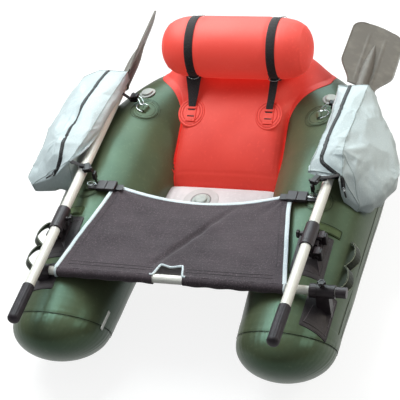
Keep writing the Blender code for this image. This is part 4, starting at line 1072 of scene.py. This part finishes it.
def makeBag(name, side):
    own, counts = bag[name], bag["counts"]
    whole = bagSurface(name)
    form = tubeForm(whole)
    points = crumpled(form)
    base, edge = bag["lapBase"], bag["lapEdge"]
    points[:, 2] = np.where(points[:, 0] < edge, np.maximum(points[:, 2], base), points[:, 2])
    # beside the shaft the cloth keeps clear of it
    outside = np.maximum(points[:, 0], edge + 0.0005)
    points[:, 0] = np.where(points[:, 2] < base - 0.0002, outside, points[:, 0])
    points[:, 1] = np.maximum(points[:, 1], bag["front"] + rowShift - bag["frontSwell"])
    points = pushOut(points, bag["clear"])
    points[:, 0] *= side
    whole = points[:whole.shape[0] * whole.shape[1]].reshape(whole.shape)
    parts = [(makeForm(points, form["quads"], form["tris"], form["uv"]), bagCloth)]
    normals = gridNormals(whole)
    normals = normals * np.sign(((whole - whole.mean((0, 1))) * normals).sum(-1).mean())
    first, marks = len(bag["frontCap"]), np.cumsum([0] + counts)
    last = first + bag["rows"] - 1

    def along(cols, start, stop, lift):
        # a line over the bag between two rows, its column given at even steps
        share = np.linspace(0, 1, 150)
        row = start + (stop - start) * share ** 2
        col = np.interp(share, np.linspace(0, 1, len(cols)), cols)
        weights = np.exp(-0.5 * (np.arange(-20, 21) / 8.0) ** 2)
        col = np.convolve(np.pad(col, 20, "edge"), weights / weights.sum(), "valid")
        up = unit(pick(normals, row, col))
        return pick(whole, row, col) + up * lift, up

    for k in own["seams"]:
        path, up = along([marks[k]] * 2, first, last, 0.0004)
        parts.append(wire(path, bag["piping"] / 2, bagPiping, up))
    for row in (first, last):
        cols = np.linspace(marks[0], marks[6], 110)
        parts.append(wire(pick(whole, row, cols), bag["piping"] / 2, bagPiping, pick(normals, row, cols)))
    if side > 0:
        # a seam runs from the ridge down over the front panel to its lower corner
        cols = [marks[3] + counts[3] * 0.2, marks[2] + counts[2] * 0.45, marks[2]]
        path, up = along(cols, first, first + 17, 0.0003)
        parts.append(wire(path, bag["piping"] / 3, bagPiping, up))
    # the zip: a tape with a raised run of teeth, on over the front end, with a puller
    path, up = along([marks[1] + counts[1] * share for share in own["zip"]], 2, last, 0.0005)
    parts.append((carry(path, stadium(bag["zipWidth"], 0.0016), up), zipTape))
    parts.append((carry(path + up * 0.0009, stadium(bag["teethWidth"], 0.0026), up), zipTeeth))
    puller = frameAt(path[2] + up[2] * 0.0032, unit(path[3] - path[1]), up[2])
    parts.append(block(puller, (0.007, 0.015, 0.003), 0.0012, (0, 0, 0), steel))
    parts.append(block(puller, (0.005, 0.024, 0.0016), 0.0007, (0, -0.017, 0.0005), zipTape))
    piece = addPiece("sideBag_" + name, "hull", parts, ["side_bag_" + name], sharp=50)
    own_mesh(piece)


for name, side in sides:
    makeBag(name, side)
print("stage: side bags")


# Oar blades: a thin moulded paddle with a spine that fades into its socket
oar = {"place": 0.403, "station": 0.245, "splay": math.radians(1.3), "height": 0.3765, "bracket": 0.4125,
       "roll": {"right": math.radians(25), "left": math.radians(-64)},
       "start": 0.735, "end": 1.070, "half": 0.095, "neck": 0.050, "thick": 0.005, "dish": 0.003,
       "corner": 0.050, "tip": 0.010, "rib": 0.0016, "ribPlace": 0.030, "lip": 0.0014,
       "socketStart": 0.690, "spineLength": 0.279, "socketRadius": 0.020, "collar": 0.0018}


def oarMatrix(side):
    return (Matrix.Translation((side * oar["place"], oar["station"] + rowShift, oar["height"]))
            @ Matrix.Rotation(-side * oar["splay"], 4, "Z"))


def makeBlade(name, side):
    matrix = oarMatrix(side) @ Matrix.Rotation(oar["roll"][name], 4, "Y")
    u, run = np.meshgrid(eased(61), 0.5 - 0.5 * np.cos(np.linspace(0, math.pi, 91)))
    length = oar["end"] - oar["start"]
    width = oar["neck"] + (oar["half"] - oar["neck"]) * smooth(run / 0.34)
    rounding = np.clip((run - 1) * length / oar["corner"] + 1, 0, 1)
    x = u * (width - oar["corner"] * (1 - np.sqrt(1 - rounding ** 2 * 0.999)) * 0.96)
    y = oar["start"] + length * run + oar["tip"] * (1 - u * u) * smooth((run - 0.7) / 0.3)
    dish = oar["dish"] * (u * u - 0.3) * run
    rib = oar["rib"] * band(np.abs(x) - oar["ribPlace"], 0.002, 0.003)
    rib = rib * smooth(run / 0.2) * smooth((0.92 - run) / 0.2)
    lip = oar["lip"] * smooth((np.abs(u) - 0.955) / 0.03)
    half = oar["thick"] / 2 * (1 - 0.4 * u ** 4) + rib + lip
    low, top = (placed(joined(x, y, dish + face * half), matrix) for face in (-1, 1))
    t = np.linspace(0, 1, 40)
    reach = np.concatenate([[0.0, 0.0006], t * oar["spineLength"] + 0.0012])[:, None]
    size = np.concatenate([[0.84, 0.96], np.interp(t, [0, 0.45, 0.62, 0.85, 1], [1, 1, 0.88, 0.5, 0.12])])
    size = oar["socketRadius"] * size[:, None]
    angle = evenTurn(36)
    grid = joined(size * np.cos(angle), oar["socketStart"] + reach, size * np.sin(angle))
    ring = circle(oar["socketRadius"] + 0.0006, 40)
    ring = placed(joined(ring[:, 0], oar["socketStart"] + 0.006, ring[:, 1]), matrix)
    parts = [(pillowForm(low, top), bladePlastic), (tubeForm(placed(grid, matrix)), bladePlastic),
             wire(ring, oar["collar"], bladePlastic, np.array(matrix)[:3, 1], True)]
    addPiece("oarBlade_" + name, "oar_" + name, parts, ["oar_blade_" + name], sharp=40)


for name, side in sides:
    makeBlade(name, side)
print("stage: blades")

# Star knobs in place of the plain thumbscrews: a fluted head on a waisted neck
knob = {"lobes": 6, "lobe": 0.16, "head": 0.0115, "neck": 0.0052, "neckLength": 0.007, "headHeight": 0.0085}


def makeKnob(node, place, axis):
    neck, head, rise = knob["neck"], knob["head"], knob["neckLength"]
    top = rise + knob["headHeight"]
    # radius, height and how far the lobes stand out
    profile = [(neck, 0, 0), (neck, rise * 0.8, 0), (head * 0.82, rise, 1), (head, rise + 0.0012, 1),
               (head, top - 0.0014, 1), (head * 0.88, top, 1), (head * 0.52, top + 0.0002, 0.4),
               (head * 0.42, top - 0.0012, 0)]
    radius, height, lobed = np.array(profile).T[..., None]
    angle = evenTurn(96)
    radius = radius * (1 + lobed * knob["lobe"] * np.cos(knob["lobes"] * angle))
    grid = joined(radius * np.cos(angle), radius * np.sin(angle), height)
    turn = Vector(axis).to_track_quat("Z", "Y").to_matrix().to_4x4()
    star = tubeForm(placed(grid, Matrix.Translation(place) @ turn))
    addPiece(node + "_star", node, [(star, knobPlastic)], [node], sharp=35)


low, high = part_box("clamp_screw")
makeKnob("clamp_screw", ((low.x + high.x) / 2, (low.y + high.y) / 2, low.z), (0, 0, 1))
for name, side in sides:
    low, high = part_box("sleeve_screw_" + name)
    start = high.x if side > 0 else low.x
    makeKnob("sleeve_screw_" + name, (start, (low.y + high.y) / 2, (low.z + high.z) / 2), (-side, 0, 0))


# Moulded boots: the patches under the fittings rise to them in four creased slopes
boot = {"inset": 0.12, "foot": 0.0030, "skin": 0.0028, "draw": 0.0045, "fold": 0.0011, "foldLift": 0.0005}


def makeBoot(name, side, stations, angles, crownPlace, crownSize, crownHeight):
    t = np.linspace(-1, 1, 33)[:-1]
    square = np.concatenate([joined(t, -1), joined(1, t), joined(-t, 1), joined(-1, -t)])
    station, angle = (sum(span) / 2 + square[:, k] * (span[1] - span[0]) / 2 * (1 - boot["inset"])
                      for k, span in enumerate((stations, angles)))
    base = onTube(side, station, np.radians(angle), boot["foot"])
    crown = joined(crownPlace[0] * side + square[:, 1] * crownSize[0] / 2 * side,
                   crownPlace[1] + rowShift + square[:, 0] * crownSize[1] / 2, crownHeight)
    rise = np.linspace(0, 1, 22)[:, None, None]
    grid = base + (crown - base) * np.concatenate([rise, rise, rise ** 1.9], -1)
    # creases stand along the four corners, and each slope is drawn in between them
    corner = np.abs(square).min(1)[:, None] ** 2
    grid[..., 2:] -= boot["draw"] * (1 - corner) * (1 - 0.5 * corner) * np.sin(rise * math.pi) ** 0.8
    grid[..., 2] = np.maximum(grid[..., 2], tubeTop(grid[..., 0], grid[..., 1]) + boot["skin"])
    lowRing = grid[:1] - np.array([0, 0, 0.0015])
    # raised lines along the four creases, in a paler colour that paints a highlight on each ridge
    lift = np.array([0, 0, boot["foldLift"]])
    folds = [wire(grid[:-1, k] + lift, boot["fold"], paintedHighlight, count=6) for k in (0, 32, 64, 96)]
    addPiece(name, "hull", [(tubeForm(np.concatenate([lowRing, grid])), patchBrown)] + folds, sharp=35)


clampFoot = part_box("bar_clamp")[0].z
makeBoot("barBoot_right", 1, (-0.030, 0.114), (26, 60), (0.470, hull["barPlace"]), (0.050, 0.026),
         clampFoot + 0.020)
for name, side in sides:
    makeBoot("oarlockBoot_" + name, side, (0.150, 0.302), (1, 33), (oar["bracket"], oar["station"]),
             (0.034, 0.094), 0.3225)

# Chunky ears beside the pivot, each a rounded block with a pin's head and a paler sheet on its top, a painted
# highlight where the light falls
ear = {"size": (0.034, 0.024, 0.034), "out": 0.0155, "apart": 0.0350, "middle": 0.3300,
       "pin": [(0.0062, -0.001), (0.0062, 0.0016), (0.0048, 0.0028), (0.001, 0.003)]}
for name, side in sides:
    parts = []
    across, along, height = ear["size"]
    for end in (-1, 1):
        place = Matrix.Translation((side * (oar["bracket"] + ear["out"]),
                                    oar["station"] + end * ear["apart"] + rowShift, ear["middle"]))
        parts.append(block(place, ear["size"], 0.004, (0, 0, 0), hardPlastic))
        pin = place @ Matrix.Translation((0, end * along / 2, 0))
        pin = pin @ Matrix.Rotation(-end * math.pi / 2, 4, "X")
        parts.append((tubeForm(placed(revolved(ear["pin"], 20), pin)), knobPlastic))
        # a thin paler sheet on the ear's top: painted highlight
        paintedLitTop = (across * 0.5, along * 1.2, 0.003)
        parts.append(block(place, paintedLitTop, 0.0012, (0, 0, height / 2 + 0.0008), paintedHighlight))
    addPiece("oarlockEars_" + name, "hull", parts, sharp=35)

# Webbing: a strip stitched flat to each outer flank, standing up in two open loops
loops = {"angle": math.radians(60), "width": 0.030, "thick": 0.0022, "start": 0.150, "end": 0.345,
         "base": 0.0022, "lift": 0.030, "lean": 0.016, "edgeIn": 0.0022, "edgeWidth": 0.0030,
         "edgeThick": 0.0008, "tacks": (0.02, 0.5, 0.98), "tackApart": 0.003}


def makeLoops(name, side):
    share = np.linspace(0, 1, 150)
    wave = np.abs(np.sin(2 * math.pi * share))
    lift = loops["base"] + loops["lift"] * wave ** 0.62
    station = loops["start"] + (loops["end"] - loops["start"]) * share
    spread = loops["width"] / 2 / (tubeRadius(station) + lift)
    # each loop leans forward, so that its mouth opens like a scoop
    leaning = station - loops["lean"] * wave ** 1.5
    path, low, high = (onTube(side, leaning, loops["angle"] + end * spread, lift) for end in (0, -1, 1))
    along = unit(np.gradient(path, axis=0))
    up = unit(np.cross(along, unit(high - low)))
    up = up * np.sign((up * skinNormal(side, station, loops["angle"])).sum(-1).mean())
    parts = [(carry(path, stadium(loops["width"], loops["thick"], 20), up), loopWebbing)]
    for edge in (low, high):
        for face in (-1, 1):
            line = edge + unit(path - edge) * loops["edgeIn"] + up * (loops["thick"] / 2 + 0.0001) * face
            parts.append((carry(line, stadium(loops["edgeWidth"], loops["edgeThick"], 8), up), webbingEdge))
    # bar tacks where the strip meets the skin
    bar = (loops["width"] * 0.86, 0.0016, 0.0010)
    for place in loops["tacks"]:
        k = int(place * 149)
        tack = frameAt(path[k] + up[k] * 0.0014, along[k], up[k])
        for gap in (-loops["tackApart"], loops["tackApart"]):
            parts.append(block(tack, bar, 0.0004, (0, gap, 0), webbingEdge))
    addPiece("flankWebbing_" + name, "hull", parts, ["side_webbing_" + name], sharp=50)


for name, side in sides:
    makeLoops(name, side)


# Patches and flaps: thin welded sheets with rounded corners that follow the skin
patch = {"thick": 0.0024, "sunk": 0.0008, "bevel": 0.0009, "stitchIn": 0.0045, "corner": 0.0045, "count": 120,
         "worn": 0.00025, "flapCorner": 0.003, "flapLift": 0.003, "archThick": 0.0013, "archWidth": 0.0285,
         "ringLift": 0.0026, "ring": 0.0008, "borderLift": 0.0052, "borderWidth": 0.0018, "thread": 0.0005}
# round patches: piece and node, station, angle, radius and the radii of their stitched rings
discs = (("rearDisc_", "rear_patch_", hull["straight"] + quarter * 22.5 / 90, math.radians(-9), 0.0448,
          (0.041, 0.034, 0.051)),
         ("apronDisc_", "apron_anchor_", 0.440, math.radians(9), 0.0398, (0.036, 0.044)))
archShape = np.array([(-0.0130, 0.0030), (-0.0095, 0.0032), (-0.0068, 0.0068), (-0.0040, 0.0098), (0, 0.0106),
                      (0.0040, 0.0098), (0.0068, 0.0068), (0.0095, 0.0032), (0.0130, 0.0030)])


def skinCircle(side, station, angle, radius):
    # a stitched ring on the skin, as a thin raised line
    turn = evenTurn(72)
    about = station + radius * np.cos(turn)
    spread = angle + radius * np.sin(turn) / tubeRadius(station)
    path = onTube(side, about, spread, patch["ringLift"])
    return wire(path, patch["ring"], seamSoft, skinNormal(side, about, spread), True, 6)


def skinFrame(side, stations, angles):
    # the dark border round a handle flap
    pairs = np.array([(stations[k], angles[n]) for k, n in ((0, 0), (1, 0), (1, 1), (0, 1), (0, 0))])
    share = np.linspace(0, 4, 161)[:-1]
    station, angle = (np.interp(share, np.arange(5), pairs[:, axis]) for axis in (0, 1))
    path = onTube(side, station, angle, patch["borderLift"])
    section = stadium(patch["borderWidth"], 0.0010, 8)
    return carry(path, section, skinNormal(side, station, angle), True), seamDark


for name, side in sides:
    marks = [skinCircle(side, station, angle, reach) for title, node, station, angle, radius, rings in discs
             for reach in rings]
    marks.append(skinFrame(side, (0.3245, 0.3535), np.radians((4.0, 41.0))))
    addPiece("stitching_" + name, "hull", marks)


def patchOutline(half, corner):
    # a rectangle with rounded corners as even steps along its edge: (along, across)
    turn = np.linspace(0, math.pi / 2, 9)
    points = [joined(sx * (half[0] - corner) + corner * np.cos(turn + quarters * math.pi / 2),
                     sy * (half[1] - corner) + corner * np.sin(turn + quarters * math.pi / 2))
              for quarters, (sx, sy) in enumerate(((1, 1), (-1, 1), (-1, -1), (1, -1)))]
    points = np.concatenate(points + [points[0][:1]])
    length = np.concatenate([[0], np.cumsum(np.linalg.norm(np.diff(points, axis=0), axis=1))])
    even = np.linspace(0, length[-1], patch["count"] + 1)[:-1]
    return joined(*(np.interp(even, length, points[:, k]) for k in (0, 1)))


def onPatch(side, station, angle, spot, lift):
    at = station + spot[..., 0]
    return onTube(side, at, angle + spot[..., 1] / tubeRadius(at), lift)


def patchForm(side, station, angle, half, corner, opening=0.0):
    # rings from the middle of the underside over the rim to the middle of the top
    outer = patchOutline(half, corner)
    inner = outer * (1 - patch["bevel"] / np.array(half))
    rows = [(outer * share, -patch["sunk"]) for share in (0.02, 0.5, 1)]
    rows.append((outer, patch["thick"] * 0.55))
    rows += [(inner * share, patch["thick"]) for share in (1, 0.97, 0.88, 0.76, 0.62, 0.47, 0.31, 0.16, 0.02)]
    spots = np.stack([spot for spot, lift in rows])
    lift = np.array([lift for spot, lift in rows])[:, None] + np.zeros(spots.shape[:2])
    # a flap stands open along its front edge
    gap = opening * (1 - (spots[..., 1] / half[1]) ** 2) * (1 - spots[..., 0] / half[0]) / 2
    lift = lift + np.where(lift > 0, gap, gap * 0.5)
    worn = patch["worn"] * waves(joined(spots[..., 0], spots[..., 1], 0), 0.03, 11)
    lift = lift + np.where(lift > patch["thick"] * 0.9, worn, 0)
    return tubeForm(onPatch(side, station, angle, spots, lift))


def patchStitch(side, station, angle, half, corner):
    inset = patch["stitchIn"]
    line = patchOutline((half[0] - inset, half[1] - inset), max(corner - inset, 0.001))
    at = station + line[:, 0]
    up = skinNormal(side, at, angle + line[:, 1] / tubeRadius(at))
    path = onPatch(side, station, angle, line, patch["thick"] + 0.0001)
    return wire(path, patch["thread"], threadDark, up, True, 6)


def archForm(side, station, angle):
    # a strap sewn over the wire as a low tunnel along the tube
    fine = np.linspace(0, len(archShape) - 1, 61)
    weights = np.exp(-0.5 * (np.arange(-4, 5) / 2.0) ** 2)
    lines = (np.interp(fine, np.arange(len(archShape)), archShape[:, k]) for k in (0, 1))
    across, lift = (np.convolve(np.pad(line, 4, "edge"), weights / weights.sum(), "valid") for line in lines)
    path = onPatch(side, station, angle, joined(0, across), lift)
    ahead = unit(onTube(side, station + 0.002, angle, 0.0) - onTube(side, station - 0.002, angle, 0.0))
    up = np.cross(ahead, unit(np.gradient(path, axis=0)))
    return carry(path, stadium(patch["archWidth"], patch["archThick"], 16), up)


def makePatch(name, side, stations, angles, material, node, corner, opening=0.0):
    station, angle = sum(stations) / 2, sum(angles) / 2
    half = ((stations[1] - stations[0]) / 2, (angles[1] - angles[0]) / 2 * tubeRadius(station))
    parts = [(patchForm(side, station, angle, half, corner, opening), material)]
    if not opening:
        parts.append(patchStitch(side, station, angle, half, corner))
    addPiece(name, "hull", parts, [node], sharp=35)


for name, side in sides:
    for title, node, station, angle, radius, rings in discs:
        disc = patchForm(side, station, angle, (radius, radius), radius * 0.999)
        addPiece(title + name, "hull", [(disc, tapeGreen), (archForm(side, station, angle), tapeGreen)],
                 [node + name], sharp=35)
    makePatch("oarlockPatch_" + name, side, (0.140, 0.312), np.radians((-2, 36)), patchBrown,
              "oarlock_patch_" + name, patch["corner"])
    makePatch("handleFlap_" + name, side, (0.322, 0.356), np.radians((3, 42)), flapGreen,
              "handle_flap_" + name, patch["flapCorner"], patch["flapLift"])
makePatch("barPatch_right", 1, (-0.036, 0.120), np.radians((24, 62)), patchBrown, "bar_patch_right",
          patch["corner"])
makePatch("barPatch_left", -1, (0.010, 0.115), np.radians((2, 33)), patchBrown, "bar_patch_left",
          patch["corner"])
print("stage: patches and flaps")


# Grips: ribbed rubber sleeves with a rounded end
grip = {"start": -0.3045, "end": -0.4505, "radius": 0.0186, "flutes": 14, "depth": 0.0009}


def makeGrip(name, side):
    # rows by their share of the length: closer at the lip and round the end
    t = np.concatenate([[0.0, 0.006, 0.03, 0.06], np.linspace(0.09, 0.86, 20),
                        1 - 0.13 * np.cos(np.linspace(0.2, 1.54, 10))])[:, None]
    rounding = np.sqrt(np.clip(1 - (np.clip(t - 0.90, 0, 1) / 0.1015) ** 2.6, 0.02, 1))
    size = np.where(t < 0.006, 0.93, 1.0) * rounding
    angle = evenTurn(112)
    body = smooth((t - 0.05) / 0.02) * smooth((0.90 - t) / 0.03)
    flute = 1 - grip["depth"] / grip["radius"] * body * (0.5 + 0.5 * np.cos(grip["flutes"] * angle)) ** 3
    radius = grip["radius"] * size * flute
    y = grip["start"] + (grip["end"] - grip["start"]) * t
    form = tubeForm(placed(joined(radius * np.cos(angle), y, radius * np.sin(angle)), oarMatrix(side)))
    addPiece("oarGrip_" + name, "oar_" + name, [(form, gripRubber)], ["oar_grip_" + name], sharp=40)


for name, side in sides:
    makeGrip(name, side)


# Clips that tie the bags' front ends over the shafts, and wires that hook the buckles to their patches.
# Places and lines are those of the right side, by station. A block has a size, an edge, a shift and a look
ties = {"front": (0.378, 0.4560, 0.4065), "frontTurn": 0.35,
        "frontBlocks": [((0.026, 0.030, 0.012), 0.0035, (0, 0, 0), knobPlastic),
                        ((0.018, 0.036, 0.0045), 0.0018, (0, 0.002, 0.0075), hardPlastic),
                        ((0.034, 0.0085, 0.0075), 0.0025, (0, -0.008, 0.0045), hardPlastic)],
        "rear": (0.3500, 0.8680, 0.3885), "rearTurn": 0.30,
        "strap": [(0.378, 0.462, 0.411), (0.398, 0.468, 0.410), (0.420, 0.476, 0.4075),
                  (0.445, 0.486, 0.408)],
        "strapWidth": 0.014, "strapThick": 0.0024, "wire": 0.0014,
        "buckleWire": [(0.352, 0.440, 0.353), (0.362, 0.446, 0.357), (0.374, 0.452, 0.3555),
                       (0.386, 0.448, 0.353), (0.381, 0.438, 0.353), (0.368, 0.436, 0.3545),
                       (0.352, 0.440, 0.353)],
        "rearHook": [(0.338, 0.872, 0.388), (0.326, 0.866, 0.386), (0.314, 0.850, 0.383),
                     (0.310, 0.838, 0.380), (0.318, 0.836, 0.380), (0.328, 0.850, 0.384),
                     (0.338, 0.862, 0.387)]}


def makeTies(name, side):
    def onSide(key):
        return np.array(ties[key]) * np.array([side, 1, 1]) + np.array([0, rowShift, 0])

    front = Matrix.Translation(onSide("front")) @ Matrix.Rotation(-side * ties["frontTurn"], 4, "Z")
    rear = Matrix.Translation(onSide("rear")) @ Matrix.Rotation(side * ties["rearTurn"], 4, "Y")
    strapPath = resample(onSide("strap"), 24)
    parts = [block(front, *piece) for piece in ties["frontBlocks"]]
    parts += [(carry(strapPath, stadium(ties["strapWidth"], ties["strapThick"])), webbing),
              wire(resample(onSide("buckleWire"), 60), ties["wire"], steel),
              block(rear, (0.030, 0.022, 0.011), 0.0035, (0, 0, 0), knobPlastic),
              block(rear, (0.011, 0.028, 0.0060), 0.0022, (side * 0.006, 0, 0.006), hardPlastic),
              wire(resample(onSide("rearHook"), 50), ties["wire"], steel)]
    addPiece("bagTie_" + name, "hull", parts, sharp=35)


for name, side in sides:
    makeTies(name, side)

# Every CAD node that is shown takes one of the real materials, by the start of its name
finishes = {"bar": whiteMetal, "bar_": hardPlastic, "oar_shaft": whiteMetal, "oar_collar": hardPlastic,
            "oarlock_": hardPlastic, "buckle_": hardPlastic, "front_clip": knobPlastic,
            "rear_clip": knobPlastic, "rear_ring": steel, "blade_button": steel,
            "seat_valve": valveGrey, "tube_valve": valveGrey}
for nodeName, thing in nodes.items():
    for start, material in finishes.items():
        if nodeName.startswith(start):
            thing.data.materials.clear()
            thing.data.materials.append(material)

# Stage, light and camera
stage = {"size": 12.0, "low": -0.0005, "glow": 0.86, "shade": (0.24, 0.24, 0.24, 1),
         "board": (0.05, 0.048, 0.042, 1), "sky": (0.90, 0.97, 1.0, 1)}
# by name: power, size, place, what it points at and its colour
lights = {"overhead": (126.0, 2.2, (-1.4, 0.9, 3.4), (0, 0, 0.2), (0.95, 1.0, 0.99)),
          "rear": (290.0, 4.2, (-0.7, 3.1, 3.0), (0, 0, 0.2), (0.80, 0.97, 1.0)),
          "side": (54.0, 1.4, (3.4, 1.1, 2.1), (0.3, 0, 0.3), (1.0, 0.94, 0.80)),
          "front": (2.0, 1.2, (0.6, -3.2, 3.2), (0, 0.3, 0.4), (1.0, 0.97, 0.93))}


def makeStage():
    mesh = bpy.data.meshes.new("floor")
    size, low = stage["size"], stage["low"]
    mesh.from_pydata([(-size, -size, low), (size, -size, low), (size, size, low), (-size, size, low)], [],
                     [(0, 1, 2, 3)])
    floor = bpy.data.objects.new("floor", mesh)
    bpy.context.scene.collection.objects.link(floor)
    # a pale floor: seen and mirrored as near white with a soft shadow, and lighting the object as grey board
    material = bpy.data.materials.new("paleFloor")
    material.use_nodes = True
    tree = material.node_tree
    tree.nodes.clear()
    rays = addNode(tree, "LightPath")
    seen = rays.outputs["Is Camera Ray"]
    for kind in ("Is Glossy Ray", "Is Transmission Ray"):
        seen = addNode(tree, "Math", None, {0: seen, 1: rays.outputs[kind]}, operation="MAXIMUM").outputs[0]
    glow = addNode(tree, "Emission", {"Color": srgb("#ffffff"), "Strength": stage["glow"]})
    shade = addNode(tree, "BsdfDiffuse", {"Color": stage["shade"]})
    bright = addNode(tree, "AddShader", None, {0: glow.outputs[0], 1: shade.outputs[0]})
    board = addNode(tree, "BsdfDiffuse", {"Color": stage["board"]})
    mixed = addNode(tree, "MixShader", None, {0: seen, 1: board.outputs[0], 2: bright.outputs[0]})
    addNode(tree, "OutputMaterial", None, {"Surface": mixed.outputs[0]})
    mesh.materials.append(material)


def makeLight(name, energy, size, location, target, colour):
    data = bpy.data.lights.new(name, "AREA")
    data.shape = "SQUARE"
    data.size = size
    data.energy = energy
    data.color = colour
    lamp = bpy.data.objects.new(name, data)
    lamp.location = location
    # the rear light is only seen in reflections, as a bright card would be
    lamp.visible_diffuse = name != "rear"
    lamp.rotation_euler = (Vector(target) - Vector(location)).to_track_quat("-Z", "Y").to_euler()
    bpy.context.scene.collection.objects.link(lamp)


def makeWorld():
    # a sky that brightens upwards lights the piece, and the camera sees plain white
    world = bpy.data.worlds.new("studio")
    bpy.context.scene.world = world
    world.use_nodes = True
    tree = world.node_tree
    tree.nodes.clear()
    rays = addNode(tree, "LightPath")
    place = addNode(tree, "TexCoord")
    split = addNode(tree, "SeparateXYZ", None, {0: place.outputs["Generated"]})
    rise = addNode(tree, "MapRange", {"From Min": -0.1, "From Max": 1.0, "To Min": 0.02, "To Max": 0.50},
                   {"Value": split.outputs["Z"]})
    sky = addNode(tree, "Background", {"Color": stage["sky"]}, {"Strength": rise.outputs[0]})
    plain = addNode(tree, "Background", {"Color": (1, 1, 1, 1), "Strength": 1.0})
    seen = {0: rays.outputs["Is Camera Ray"], 1: sky.outputs[0], 2: plain.outputs[0]}
    addNode(tree, "OutputWorld", None, {"Surface": addNode(tree, "MixShader", None, seen).outputs[0]})


makeStage()
makeWorld()
for name, light in lights.items():
    makeLight(name, *light)

# The camera stands where the photograph was taken from, turned a little about its own axis
view = {"azimuth": math.radians(23.4), "elevation": math.radians(39.7), "roll": math.radians(-12.1),
        "distance": 4.667, "focalPixels": 1407.0, "frame": 400.0, "target": (-0.060, 0.565, 0.2)}


def makeCamera():
    a, e, r = view["azimuth"], view["elevation"], view["roll"]
    backward = Vector((math.sin(a) * math.cos(e), -math.cos(a) * math.cos(e), math.sin(e)))
    level = Vector((math.cos(a), math.sin(a), 0))
    above = backward.cross(level)
    right = level * math.cos(r) + above * math.sin(r)
    up = above * math.cos(r) - level * math.sin(r)
    data = bpy.data.cameras.new("camera")
    data.sensor_width = 36.0
    data.lens = view["focalPixels"] / view["frame"] * data.sensor_width
    data.clip_end = 60
    camera = bpy.data.objects.new("camera", data)
    turn = Matrix((right, up, backward)).transposed().to_4x4()
    target = Vector(view["target"]) + Vector((0, rowShift, 0))
    camera.matrix_world = Matrix.Translation(target + backward * view["distance"]) @ turn
    bpy.context.scene.collection.objects.link(camera)
    bpy.context.scene.camera = camera


makeCamera()
bpy.context.scene.view_settings.view_transform = "Standard"
print("stage: light and camera")
